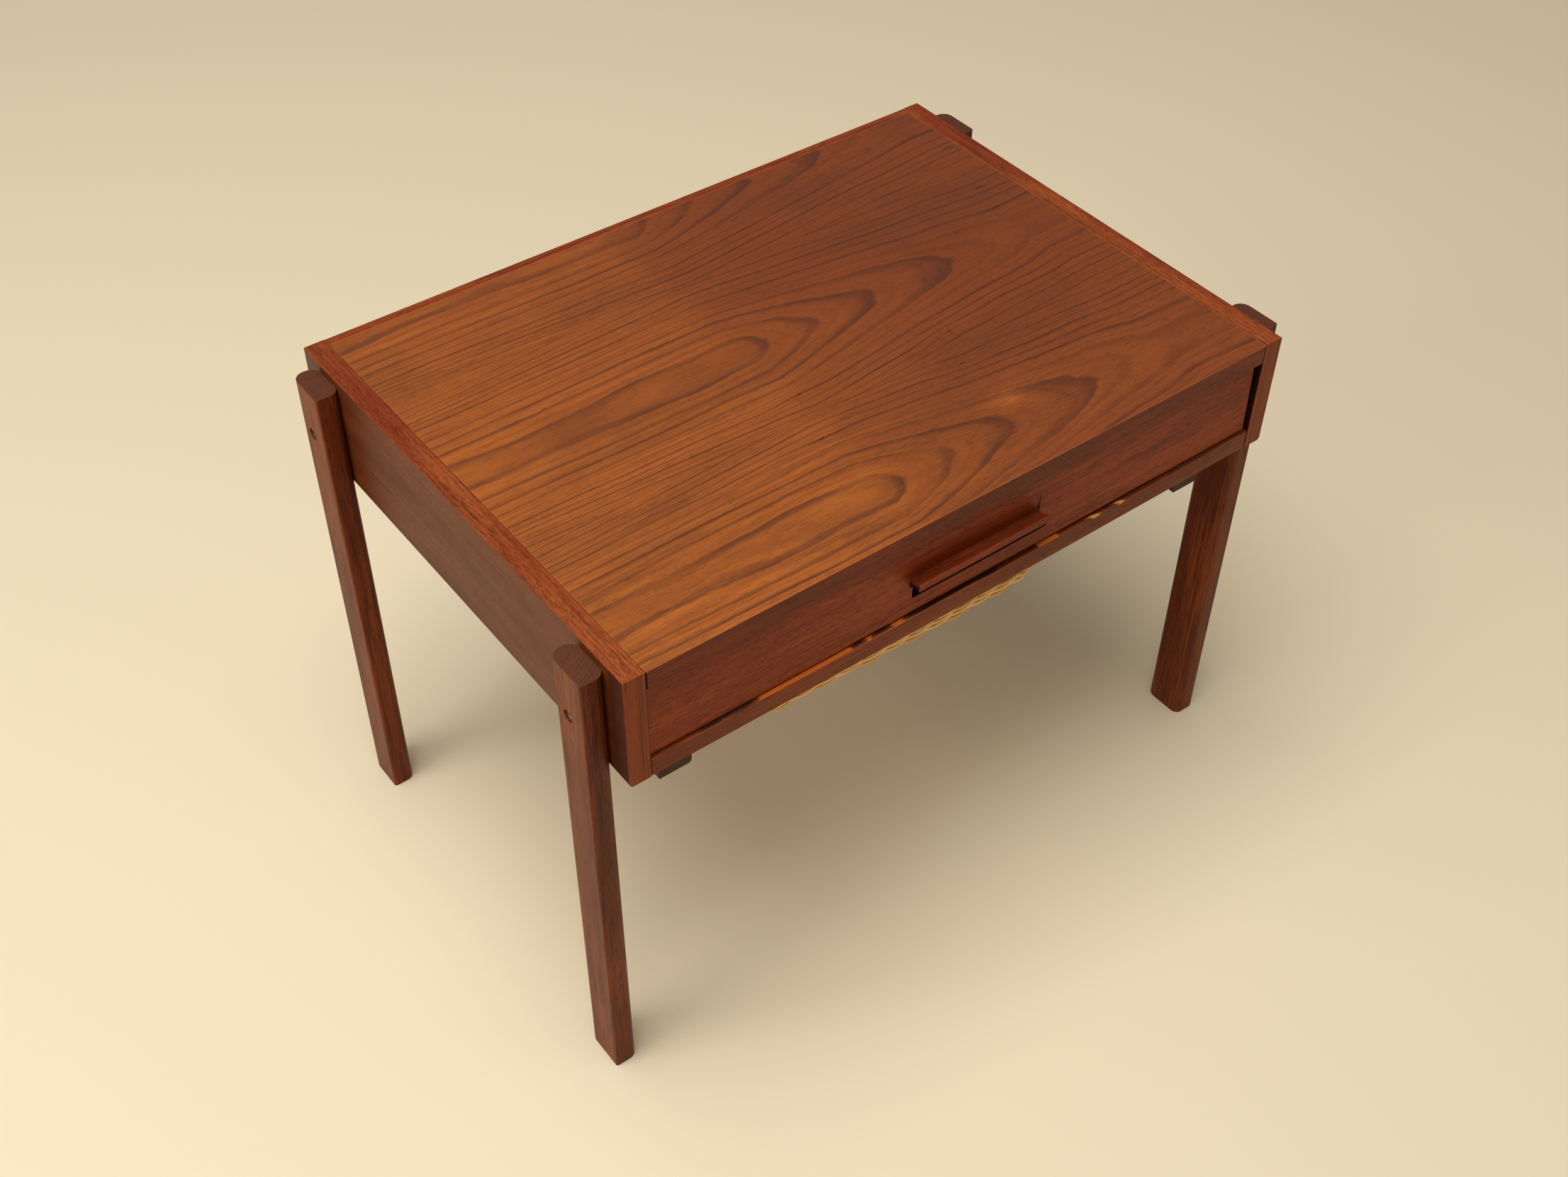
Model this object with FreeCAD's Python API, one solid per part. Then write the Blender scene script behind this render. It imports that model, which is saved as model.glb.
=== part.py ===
import FreeCAD, Part
import math
import os

# Sewing table: a low case with one drawer, a wicker basket that slides in grooved
# runners under the case, and four flat legs bolted to the outer faces of the sides.
# Millimetres. +Z is up, the drawer opens towards -Y, and the origin is on the floor
# at the centre of the whole object's box.

Vector = FreeCAD.Vector
X_AXIS = Vector(1, 0, 0)
Z_AXIS = Vector(0, 0, 1)

CUT_MARGIN = 1.0                # how far a cutting shape runs past the face it cuts
TOLERANCE = 1e-6

# ---- driving dimensions: the case ----
WIDTH = 600.0                   # outer faces of the two side panels
DEPTH = 430.0                   # front to back of the side panels
HEIGHT = 443.5                  # floor to the top
CASE_HEIGHT = 100.0
BOARD = 17.0                    # side panels, top and rails
EDGE_ROUND = 0.8
PANEL_CORNER_ROUND = 3.0        # lower outer edge of the side panels
PANEL_INNER_ROUND = 0.3
VENEER = 0.8
LIPPING = 8.0
TOP_END_GAP = 0.3
LIPPING_LEFT_GAP = 1.3          # open notch between the front edge strip and the side panel
LIPPING_RIGHT_GAP = 0.7
BACK_BOARD = 12.0
RAIL_DEPTH = 45.0
RAIL_SETBACK = 0.2              # rail's underside above the panels' bottom edges, at its ends
RAIL_SAG = 1.7                  # how far the front rail has sunk at its middle
RAIL_END_GAP = 0.5

# ---- driving dimensions: legs ----
LEG_THICKNESS = 19.5
LEG_WIDTH = 38.0
LEG_TOP_DROP = 8.0
FRONT_LEG_SETBACK = 20.0
REAR_LEG_SETBACK = 16.0
LEG_OUTER_ROUND = 2.0
LEG_INNER_ROUND = 7.0
LEG_BACK_ROUND = 9.0
LEG_BOLT_DROP = 51.0
LEG_DOWEL_DROPS = (27.0, 77.0)

# ---- driving dimensions: drawer ----
DRAWER_RECESS = 2.5             # drawer face behind the front edges of the case
DRAWER_SHIFT = -1.2             # the drawer sits a little to the left
DRAWER_WIDTH = 562.0
DRAWER_RIGHT_LEAN = 2.4         # the front's right end leans in this much towards its top
DRAWER_TOP_GAP = 1.0
DRAWER_BOTTOM_GAP = 0.6
DRAWER_FRONT_THICKNESS = 16.0
DRAWER_BOX_WIDTH = 554.0
DRAWER_SIDE = 10.0
DRAWER_SIDE_TOP_DROP = 27.0
DRAWER_SIDE_HEIGHT = 50.0
DRAWER_SIDE_END = 402.0         # rear end of the drawer sides, from the case front
DRAWER_BACK_END = 398.0
DRAWER_TENON = 6.0              # sides let into the drawer front
DRAWER_HOUSING = 4.0            # back and bottom let into the sides
DRAWER_BOTTOM = 4.0
DRAWER_BOTTOM_RISE = 4.0
DIVIDER = 5.0
DIVIDER_HEIGHT = 35.0
LONG_DIVIDER_SETBACK = 150.0
CROSS_DIVIDERS = 3

# ---- driving dimensions: drawer runners ----
RUNNER_THICKNESS = 10.0
RUNNER_HEIGHT = 9.0
RUNNER_DROP = 57.0              # case top to the runner's underside
RUNNER_START = 20.0
RUNNER_END = 400.0
RUNNER_GROOVE_DEPTH = 6.0
RUNNING_GAP = 0.3
STOP_THICKNESS = 9.0
STOP_WIDTH = 33.0
STOP_HEIGHT = 15.5

# ---- driving dimensions: handle ----
HANDLE_LENGTH = 121.0
HANDLE_FLARE = 2.0              # how much longer each end is at the lip
END_CUT_MARGIN = 20.0           # how far the handle's end cuts run past it
HANDLE_REACH = 12.0
HANDLE_DROP = 49.8              # case top to the lip's back edge
LIP_RISE = 4.6
LIP_FACE = 5.5
TONGUE_THICKNESS = 7.0
POCKET_DEPTH = 8.0
POCKET_BOTTOM_DROP = 68.8
POCKET_LEFT = 58.0              # drawer's middle to the finger slot's ends
POCKET_RIGHT = 70.2
SLOT_HEIGHT = 8.0
SLOT_ROUND = 1.5
COVE_DEPTH = 1.2
COVE_HEIGHT = 21.0
COVE_LOWER_POLE = 0.35          # shares of the cove's height where its curve is steered
COVE_UPPER_POLE = 0.6
LIP_BEVEL_DEPTH = 1.0           # small bevel along the lip's top front edge
LIP_BEVEL_HEIGHT = 0.8
LIP_HOLLOW_INSET = 2.2          # where the hollow under the lip begins
LIP_HOLLOW_DROP = 0.9
LIP_HOLLOW_DEPTH = 1.8
DISH_RISE = 0.7                 # height of the dished top halfway to the lip

# ---- driving dimensions: basket runners and frame ----
SLIDE_INSET = 37.0              # side panel's outer face to the runner
SLIDE_WIDTH = 28.0
SLIDE_BOTTOM_DROP = 141.8
SLIDE_START = 24.0
SLIDE_END = 402.0
SLIDE_NOSE_ROUND = 2.0
SLIDE_INNER_ROUND = 5.6
SLIDE_OUTER_ROUND = 4.0
SLIDE_GROOVE_DEPTH = 10.0
SLIDE_GROOVE_HEIGHT = 10.0
SLIDE_LIP = 16.8                # wood left under the groove
SLIDE_GROOVE_STOP = 8.0
FRAME_THICKNESS = 9.4
FRAME_START = 25.0
FRAME_END = 392.0
FRAME_FRONT_BAR = 14.0
FRAME_BACK_BAR = 20.0
FRAME_INNER_INSET = 108.0       # side panel's outer face to the frame's inner edge
FRAME_SIDE_GAP = 1.0
FRAME_CORNER_ROUND = 3.0

# ---- driving dimensions: basket ----
BASKET_BOTTOM_DROP = 214.5
BASKET_TOP_LENGTH = 378.0
BASKET_TOP_WIDTH = 324.0
BASKET_BOTTOM_LENGTH = 288.0
BASKET_BOTTOM_WIDTH = 264.0
BASKET_TOP_CORNER = 42.0
BASKET_BOTTOM_CORNER = 24.0
BASKET_WALL = 5.0
BASKET_SHOULDER_DROP = 1.0      # frame's underside to where the walls turn upright
RIM_DIAMETER = 9.0
RIM_GAP = 0.05

# ---- fasteners ----
DOWEL_DIAMETER = 8.0
DOWEL_LENGTH = 28.0
SMALL_DOWEL_DIAMETER = 5.0
SMALL_DOWEL_LENGTH = 24.0
LEG_DOWEL_LENGTH = 22.0
BOLT_DIAMETER = 6.0
BOLT_HEAD_DIAMETER = 10.0
BOLT_HEAD_HEIGHT = 3.5
BOLT_HEAD_SINK = 1.6
BOLT_HEAD_ROUND = 0.6
BOLT_SLOT = 1.4
BOLT_LENGTH = 30.0
INSERT_DIAMETER = 10.0
INSERT_LENGTH = 12.0
INSERT_SINK = 1.0
SCREW_DIAMETER = 4.0
SCREW_HEAD_DIAMETER = 8.0
SCREW_HEAD_HEIGHT = 3.0
SLIDE_SCREW_LENGTH = 30.0
SLIDE_SCREW_SINK = 26.8
RUNNER_SCREW_LENGTH = 20.0
NAIL_DIAMETER = 1.6
NAIL_LENGTH = 18.0
BOTTOM_NAILS = 5
BLIND_MARGIN = 4.0              # a dowel in a side panel ends this much short of halfway

# ---- places of fasteners, as parts of the length that they share ----
TOP_DOWEL_PARTS = (0.08, 0.36, 0.64, 0.92)
RAIL_DOWEL_PARTS = (0.3, 0.7)
BACK_DOWEL_PARTS = (0.25, 0.75)
RUNNER_SCREW_PARTS = (0.07, 0.5, 0.93)
FRONT_SLIDE_SCREW_INSET = 10.0
REAR_SLIDE_SCREW_INSET = 12.0

# ---- places worked out from them ----
HANDLE_PROUD = HANDLE_REACH - DRAWER_RECESS
FRONT = -(DEPTH + HANDLE_PROUD) / 2 + HANDLE_PROUD
BACK = FRONT + DEPTH
HALF = WIDTH / 2
INNER = HALF - BOARD
CASE_BOTTOM = HEIGHT - CASE_HEIGHT
BAY_TOP = HEIGHT - BOARD
RAIL_BOTTOM = CASE_BOTTOM + RAIL_SETBACK
RAIL_TOP = RAIL_BOTTOM + BOARD
BACK_BOARD_FACE = BACK - BACK_BOARD
BACK_RAIL_FRONT = BACK_BOARD_FACE - RAIL_DEPTH
LEG_TOP = HEIGHT - LEG_TOP_DROP
FRONT_LEG_Y = FRONT + FRONT_LEG_SETBACK
REAR_LEG_Y = BACK - REAR_LEG_SETBACK - LEG_WIDTH
DRAWER_FACE = FRONT + DRAWER_RECESS
DRAWER_INSIDE = DRAWER_FACE + DRAWER_FRONT_THICKNESS
DRAWER_FRONT_TOP = BAY_TOP - DRAWER_TOP_GAP
DRAWER_FRONT_BOTTOM = RAIL_TOP + DRAWER_BOTTOM_GAP
DRAWER_SIDE_TOP = HEIGHT - DRAWER_SIDE_TOP_DROP
DRAWER_SIDE_BOTTOM = DRAWER_SIDE_TOP - DRAWER_SIDE_HEIGHT
DRAWER_FLOOR = DRAWER_SIDE_BOTTOM + DRAWER_BOTTOM_RISE + DRAWER_BOTTOM
BOX_LEFT = DRAWER_SHIFT - DRAWER_BOX_WIDTH / 2
BOX_RIGHT = DRAWER_SHIFT + DRAWER_BOX_WIDTH / 2
LONG_DIVIDER_Y = FRONT + LONG_DIVIDER_SETBACK
RUNNER_BOTTOM = HEIGHT - RUNNER_DROP
RUNNER_TOP = RUNNER_BOTTOM + RUNNER_HEIGHT
SLIDE_OUTER = HALF - SLIDE_INSET
SLIDE_INNER = SLIDE_OUTER - SLIDE_WIDTH
SLIDE_BOTTOM = HEIGHT - SLIDE_BOTTOM_DROP
GROOVE_BOTTOM = SLIDE_BOTTOM + SLIDE_LIP
GROOVE_TOP = GROOVE_BOTTOM + SLIDE_GROOVE_HEIGHT
GROOVE_WALL = SLIDE_INNER + SLIDE_GROOVE_DEPTH
SLIDE_SCREW_X = (GROOVE_WALL + SLIDE_OUTER) / 2
FRAME_BOTTOM = GROOVE_BOTTOM + RUNNING_GAP
FRAME_TOP = FRAME_BOTTOM + FRAME_THICKNESS
FRAME_OUTER = GROOVE_WALL - FRAME_SIDE_GAP
FRAME_INNER = HALF - FRAME_INNER_INSET
FRAME_FRONT = FRONT + FRAME_START
FRAME_BACK = FRONT + FRAME_END
BASKET_BOTTOM = HEIGHT - BASKET_BOTTOM_DROP
BASKET_SHOULDER = FRAME_BOTTOM - BASKET_SHOULDER_DROP
BASKET_TOP = FRAME_TOP + RIM_DIAMETER
BASKET_Y = (FRAME_FRONT + FRAME_FRONT_BAR + FRAME_BACK - FRAME_BACK_BAR) / 2


# ---- helpers ----
def block(x0, x1, y0, y1, z0, z1):
    return Part.makeBox(x1 - x0, y1 - y0, z1 - z0, Vector(x0, y0, z0))


def eased_block(x0, x1, y0, y1, z0, z1, radius=EDGE_ROUND):
    shape = block(x0, x1, y0, y1, z0, z1)
    return shape.makeFillet(radius, shape.Edges)


def rod(radius, length, start, direction):
    return Part.makeCylinder(radius, length, start, direction)


def mirrored(shape):
    return shape.mirror(Vector(0, 0, 0), X_AXIS)


def group(shapes):
    return Part.makeCompound(shapes)


def rounded_outline(points, radii):
    """Closed wire through the points, each corner rounded by its own radius."""
    edges = []
    ends = []
    count = len(points)
    for i in range(count):
        corner = points[i]
        back = (points[i - 1] - corner).normalize()
        ahead = (points[(i + 1) % count] - corner).normalize()
        half_angle = back.getAngle(ahead) / 2
        run = radii[i] / math.tan(half_angle)
        middle = (back + ahead).normalize()
        reach = radii[i] / math.sin(half_angle) - radii[i]
        ends.append((corner + back * run, corner + middle * reach, corner + ahead * run))
    for i in range(count):
        first, middle, last = ends[i]
        if radii[i] > 0:
            edges.append(Part.Arc(first, middle, last).toShape())
        following = ends[(i + 1) % count][0]
        if last.distanceToPoint(following) > TOLERANCE:
            edges.append(Part.LineSegment(last, following).toShape())
    return Part.Wire(edges)


def rounded_rectangle(length, width, radius, centre):
    x = length / 2
    y = width / 2
    corners = [Vector(-x, -y, 0), Vector(x, -y, 0), Vector(x, y, 0), Vector(-x, y, 0)]
    return rounded_outline([centre + corner for corner in corners], [radius] * 4)


def screw(tip, direction, length, diameter=SCREW_DIAMETER):
    """Countersunk wood screw whose head ends at tip plus length."""
    shank = rod(diameter / 2, length, tip, direction)
    head_start = tip + direction * (length - SCREW_HEAD_HEIGHT)
    head = Part.makeCone(diameter / 2, SCREW_HEAD_DIAMETER / 2, SCREW_HEAD_HEIGHT, head_start, direction)
    return shank.fuse(head).removeSplitter()


# ---- fastener layouts ----
def top_dowels():
    start = INNER - DOWEL_LENGTH / 2
    places = [FRONT + DEPTH * part for part in TOP_DOWEL_PARTS]
    height = HEIGHT - BOARD / 2
    right = [rod(DOWEL_DIAMETER / 2, DOWEL_LENGTH - BLIND_MARGIN, Vector(start, y, height), X_AXIS)
             for y in places]
    return right + [mirrored(shape) for shape in right]


def rail_dowels():
    start = INNER - DOWEL_LENGTH / 2
    height = (RAIL_BOTTOM + RAIL_TOP) / 2
    places = [FRONT + RAIL_DEPTH * part for part in RAIL_DOWEL_PARTS]
    places += [BACK_RAIL_FRONT + RAIL_DEPTH * part for part in RAIL_DOWEL_PARTS]
    right = [rod(DOWEL_DIAMETER / 2, DOWEL_LENGTH - BLIND_MARGIN, Vector(start, y, height), X_AXIS)
             for y in places]
    return right + [mirrored(shape) for shape in right]


def back_panel_dowels():
    start = INNER - SMALL_DOWEL_LENGTH / 2
    y = BACK - BACK_BOARD / 2
    heights = [RAIL_TOP + (BAY_TOP - RAIL_TOP) * part for part in BACK_DOWEL_PARTS]
    right = [rod(SMALL_DOWEL_DIAMETER / 2, SMALL_DOWEL_LENGTH, Vector(start, y, z), X_AXIS)
             for z in heights]
    return right + [mirrored(shape) for shape in right]


def leg_centres():
    return [FRONT_LEG_Y + LEG_WIDTH / 2, REAR_LEG_Y + LEG_WIDTH / 2]


def leg_dowels():
    start = HALF - LEG_DOWEL_LENGTH / 2
    right = [rod(DOWEL_DIAMETER / 2, LEG_DOWEL_LENGTH, Vector(start, y, HEIGHT - drop), X_AXIS)
             for y in leg_centres() for drop in LEG_DOWEL_DROPS]
    return right + [mirrored(shape) for shape in right]


def leg_bolt(y):
    """Slotted bolt with its head sunk below the leg's outer face."""
    height = HEIGHT - LEG_BOLT_DROP
    face = HALF + LEG_THICKNESS - BOLT_HEAD_SINK
    head_start = face - BOLT_HEAD_HEIGHT
    head = rod(BOLT_HEAD_DIAMETER / 2, BOLT_HEAD_HEIGHT, Vector(head_start, y, height), X_AXIS)
    head = head.makeFillet(BOLT_HEAD_ROUND, [head.Edges[0]])
    shank = rod(BOLT_DIAMETER / 2, BOLT_LENGTH, Vector(head_start - BOLT_LENGTH, y, height), X_AXIS)
    slot = block(face - BOLT_SLOT, face + CUT_MARGIN, y - BOLT_HEAD_DIAMETER, y + BOLT_HEAD_DIAMETER,
                 height - BOLT_SLOT / 2, height + BOLT_SLOT / 2)
    return head.fuse(shank).cut(slot)


def leg_bolts():
    right = [leg_bolt(y) for y in leg_centres()]
    return right + [mirrored(shape) for shape in right]


def leg_insert(y):
    """Threaded sleeve let into the side panel from its inner face."""
    height = HEIGHT - LEG_BOLT_DROP
    start = INNER + INSERT_SINK
    sleeve = rod(INSERT_DIAMETER / 2, INSERT_LENGTH, Vector(start, y, height), X_AXIS)
    return sleeve.cut(rod(BOLT_DIAMETER / 2, INSERT_LENGTH, Vector(start, y, height), X_AXIS))


def leg_inserts():
    right = [leg_insert(y) for y in leg_centres()]
    return right + [mirrored(shape) for shape in right]


def leg_fixing_holes():
    """Space that the bolts, inserts and leg dowels take in the legs and panels."""
    holes = list(leg_dowels())
    height = HEIGHT - LEG_BOLT_DROP
    for y in leg_centres():
        for side in (1, -1):
            outward = X_AXIS * side
            shank = rod(BOLT_DIAMETER / 2, LEG_THICKNESS + BOARD, Vector(side * INNER, y, height), outward)
            sleeve = rod(INSERT_DIAMETER / 2, INSERT_SINK + INSERT_LENGTH, Vector(side * INNER, y, height),
                         outward)
            depth = BOLT_HEAD_SINK + BOLT_HEAD_HEIGHT
            seat = HALF + LEG_THICKNESS - depth
            bore = rod(BOLT_HEAD_DIAMETER / 2, depth + CUT_MARGIN, Vector(side * seat, y, height), outward)
            holes += [shank, sleeve, bore]
    return holes


def slide_screw_ys():
    return [FRONT + SLIDE_START + FRONT_SLIDE_SCREW_INSET, BACK_RAIL_FRONT + REAR_SLIDE_SCREW_INSET]


def basket_runner_screws():
    """Screws up through the basket runners into the two rails."""
    tip_height = SLIDE_BOTTOM + SLIDE_SCREW_SINK + SLIDE_SCREW_LENGTH
    right = [screw(Vector(SLIDE_SCREW_X, y, tip_height), Z_AXIS * -1, SLIDE_SCREW_LENGTH)
             for y in slide_screw_ys()]
    return right + [mirrored(shape) for shape in right]


def slide_counterbores():
    return [rod(SCREW_HEAD_DIAMETER / 2, SLIDE_SCREW_SINK, Vector(SLIDE_SCREW_X, y, SLIDE_BOTTOM), Z_AXIS)
            for y in slide_screw_ys()]


def drawer_runner_screws():
    height = (RUNNER_BOTTOM + RUNNER_TOP) / 2
    face = INNER - RUNNER_THICKNESS
    length = RUNNER_END - RUNNER_START
    places = [FRONT + RUNNER_START + length * part for part in RUNNER_SCREW_PARTS]
    right = [screw(Vector(face + RUNNER_SCREW_LENGTH, y, height), X_AXIS * -1, RUNNER_SCREW_LENGTH)
             for y in places]
    return right + [mirrored(shape) for shape in right]


def frame_dowels():
    """Two dowels at each end of the basket frame's front and back bars."""
    height = (FRAME_BOTTOM + FRAME_TOP) / 2
    start = FRAME_INNER - SMALL_DOWEL_LENGTH / 2
    places = [FRAME_FRONT + FRAME_FRONT_BAR / 2, FRAME_BACK - FRAME_BACK_BAR / 2]
    right = [rod(SMALL_DOWEL_DIAMETER / 2, SMALL_DOWEL_LENGTH, Vector(start, y, height), X_AXIS)
             for y in places]
    return right + [mirrored(shape) for shape in right]


def drawer_bottom_nails():
    """Nails up through the drawer bottom into the back's lower edge."""
    y = FRONT + DRAWER_BACK_END - DRAWER_SIDE / 2
    step = (DRAWER_BOX_WIDTH - 2 * DRAWER_SIDE) / (BOTTOM_NAILS + 1)
    start = DRAWER_FLOOR - DRAWER_BOTTOM
    places = [BOX_LEFT + DRAWER_SIDE + step * (i + 1) for i in range(BOTTOM_NAILS)]
    return [rod(NAIL_DIAMETER / 2, NAIL_LENGTH, Vector(x, y, start), Z_AXIS) for x in places]


# ---- case ----
def right_side_panel():
    outline = [Vector(INNER, FRONT, CASE_BOTTOM), Vector(HALF, FRONT, CASE_BOTTOM),
               Vector(HALF, FRONT, HEIGHT), Vector(INNER, FRONT, HEIGHT)]
    wire = rounded_outline(outline, [EDGE_ROUND, PANEL_CORNER_ROUND, EDGE_ROUND, PANEL_INNER_ROUND])
    panel = Part.Face(wire).extrude(Vector(0, DEPTH, 0))
    return panel.cut(top_dowels() + rail_dowels() + back_panel_dowels() + leg_fixing_holes()
                     + drawer_runner_screws())


def top_panel():
    reach = INNER - TOP_END_GAP
    board = block(-reach, reach, FRONT + LIPPING, BACK - LIPPING, BAY_TOP, HEIGHT - VENEER)
    return board.cut(top_dowels())


def top_front_lipping():
    return block(-INNER + LIPPING_LEFT_GAP, INNER - LIPPING_RIGHT_GAP, FRONT, FRONT + LIPPING,
                 BAY_TOP, HEIGHT - VENEER)


def top_back_lipping():
    reach = INNER - TOP_END_GAP
    strip = block(-reach, reach, BACK - LIPPING, BACK, BAY_TOP, HEIGHT)
    top_rear = [edge for edge in strip.Edges
                if edge.BoundBox.YMin > BACK - CUT_MARGIN and edge.BoundBox.ZMin > HEIGHT - CUT_MARGIN]
    return strip.makeFillet(EDGE_ROUND, top_rear)


def top_veneer():
    reach = INNER - TOP_END_GAP
    return block(-reach, reach, FRONT, BACK - LIPPING, HEIGHT - VENEER, HEIGHT)


def back_panel():
    board = block(-INNER, INNER, BACK_BOARD_FACE, BACK, RAIL_BOTTOM, BAY_TOP)
    return board.cut(back_panel_dowels())


def front_rail():
    """Rail that has sunk a little at its middle; the basket runners are let in to its underside."""
    reach = INNER - RAIL_END_GAP
    edges = [Part.Arc(Vector(-reach, FRONT, RAIL_BOTTOM), Vector(0, FRONT, RAIL_BOTTOM - RAIL_SAG),
                      Vector(reach, FRONT, RAIL_BOTTOM)).toShape(),
             Part.makeLine(Vector(reach, FRONT, RAIL_BOTTOM), Vector(reach, FRONT, RAIL_TOP)),
             Part.Arc(Vector(reach, FRONT, RAIL_TOP), Vector(0, FRONT, RAIL_TOP - RAIL_SAG),
                      Vector(-reach, FRONT, RAIL_TOP)).toShape(),
             Part.makeLine(Vector(-reach, FRONT, RAIL_TOP), Vector(-reach, FRONT, RAIL_BOTTOM))]
    rail = Part.Face(Part.Wire(edges)).extrude(Vector(0, RAIL_DEPTH, 0))
    rail = rail.makeFillet(EDGE_ROUND, rail.Edges)
    seat = block(SLIDE_INNER, SLIDE_OUTER, FRONT + SLIDE_START, FRONT + RAIL_DEPTH + CUT_MARGIN,
                 RAIL_BOTTOM - RAIL_SAG, RAIL_BOTTOM)
    return rail.cut([seat, mirrored(seat)] + rail_dowels() + basket_runner_screws())


def back_rail():
    reach = INNER - RAIL_END_GAP
    rail = block(-reach, reach, BACK_RAIL_FRONT, BACK_BOARD_FACE, RAIL_BOTTOM, RAIL_TOP)
    return rail.cut(rail_dowels() + basket_runner_screws())


def right_drawer_runner():
    strip = block(INNER - RUNNER_THICKNESS, INNER, FRONT + RUNNER_START, FRONT + RUNNER_END,
                  RUNNER_BOTTOM, RUNNER_TOP)
    return strip.cut(drawer_runner_screws())


def drawer_stops():
    y = FRONT + DRAWER_SIDE_END + RUNNING_GAP
    right = block(INNER - STOP_WIDTH, INNER, y, y + STOP_THICKNESS, RAIL_TOP, RAIL_TOP + STOP_HEIGHT)
    return [right, mirrored(right)]


def right_basket_runner():
    """Grooved runner; the groove faces the centre and stops short of the rear end."""
    y = FRONT + SLIDE_START
    length = SLIDE_END - SLIDE_START
    outline = [Vector(SLIDE_INNER, y, SLIDE_BOTTOM), Vector(SLIDE_OUTER, y, SLIDE_BOTTOM),
               Vector(SLIDE_OUTER, y, RAIL_BOTTOM), Vector(SLIDE_INNER, y, RAIL_BOTTOM)]
    wire = rounded_outline(outline, [SLIDE_INNER_ROUND, SLIDE_OUTER_ROUND, 0, 0])
    bar = Part.Face(wire).extrude(Vector(0, length, 0))
    groove = block(SLIDE_INNER - CUT_MARGIN, GROOVE_WALL, y - CUT_MARGIN,
                   FRONT + SLIDE_END - SLIDE_GROOVE_STOP, GROOVE_BOTTOM, GROOVE_TOP)
    nose = rounded_nose_cutter(y)
    return bar.cut([groove, nose] + slide_counterbores() + basket_runner_screws())


def rounded_nose_cutter(y):
    """Removes the lower front corner of a runner outside a quarter circle."""
    rear = y + SLIDE_NOSE_ROUND
    top = SLIDE_BOTTOM + SLIDE_NOSE_ROUND
    start = SLIDE_INNER - CUT_MARGIN
    corner = block(start, SLIDE_OUTER + CUT_MARGIN, y - CUT_MARGIN, rear, SLIDE_BOTTOM - CUT_MARGIN, top)
    return corner.cut(rod(SLIDE_NOSE_ROUND, SLIDE_WIDTH + 2 * CUT_MARGIN, Vector(start, rear, top), X_AXIS))


def right_leg(y):
    """Flat leg: crisp outer front edge, eased inner front edge, rounded rear edge."""
    corners = [Vector(HALF, y, 0), Vector(HALF + LEG_THICKNESS, y, 0),
               Vector(HALF + LEG_THICKNESS, y + LEG_WIDTH, 0), Vector(HALF, y + LEG_WIDTH, 0)]
    radii = [LEG_INNER_ROUND, LEG_OUTER_ROUND, LEG_BACK_ROUND, LEG_BACK_ROUND]
    leg = Part.Face(rounded_outline(corners, radii)).extrude(Vector(0, 0, LEG_TOP))
    return leg.cut(leg_fixing_holes())


# ---- drawer ----
def handle_profile():
    """Section of the handle in the YZ plane: tongue, dished top, lip and hollow underside."""
    back_top = HEIGHT - HANDLE_DROP
    lip_y = DRAWER_FACE - HANDLE_REACH
    lip_top = back_top + LIP_RISE
    tongue_y = DRAWER_FACE + POCKET_DEPTH
    cove_y = DRAWER_FACE + COVE_DEPTH
    hollow_y = lip_y + LIP_HOLLOW_INSET
    points = {
        "tongue_top": Vector(0, tongue_y, back_top),
        "dish_start": Vector(0, cove_y, back_top),
        "dish_middle": Vector(0, (cove_y + lip_y) / 2, back_top + DISH_RISE),
        "lip_back": Vector(0, lip_y + LIP_BEVEL_DEPTH, lip_top),
        "lip_front": Vector(0, lip_y, lip_top - LIP_BEVEL_HEIGHT),
        "lip_low": Vector(0, lip_y, lip_top - LIP_FACE),
        "hollow_start": Vector(0, hollow_y, lip_top - LIP_FACE - LIP_HOLLOW_DROP),
        "hollow_middle": Vector(0, (hollow_y + DRAWER_FACE) / 2, lip_top - LIP_FACE - LIP_HOLLOW_DEPTH),
        "hollow_end": Vector(0, DRAWER_FACE, back_top - TONGUE_THICKNESS),
        "tongue_low": Vector(0, tongue_y, back_top - TONGUE_THICKNESS),
    }
    edges = [
        Part.LineSegment(points["tongue_top"], points["dish_start"]).toShape(),
        Part.Arc(points["dish_start"], points["dish_middle"], points["lip_back"]).toShape(),
        Part.LineSegment(points["lip_back"], points["lip_front"]).toShape(),
        Part.LineSegment(points["lip_front"], points["lip_low"]).toShape(),
        Part.LineSegment(points["lip_low"], points["hollow_start"]).toShape(),
        Part.Arc(points["hollow_start"], points["hollow_middle"], points["hollow_end"]).toShape(),
        Part.LineSegment(points["hollow_end"], points["tongue_low"]).toShape(),
        Part.LineSegment(points["tongue_low"], points["tongue_top"]).toShape(),
    ]
    return Part.Face(Part.Wire(edges))


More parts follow.
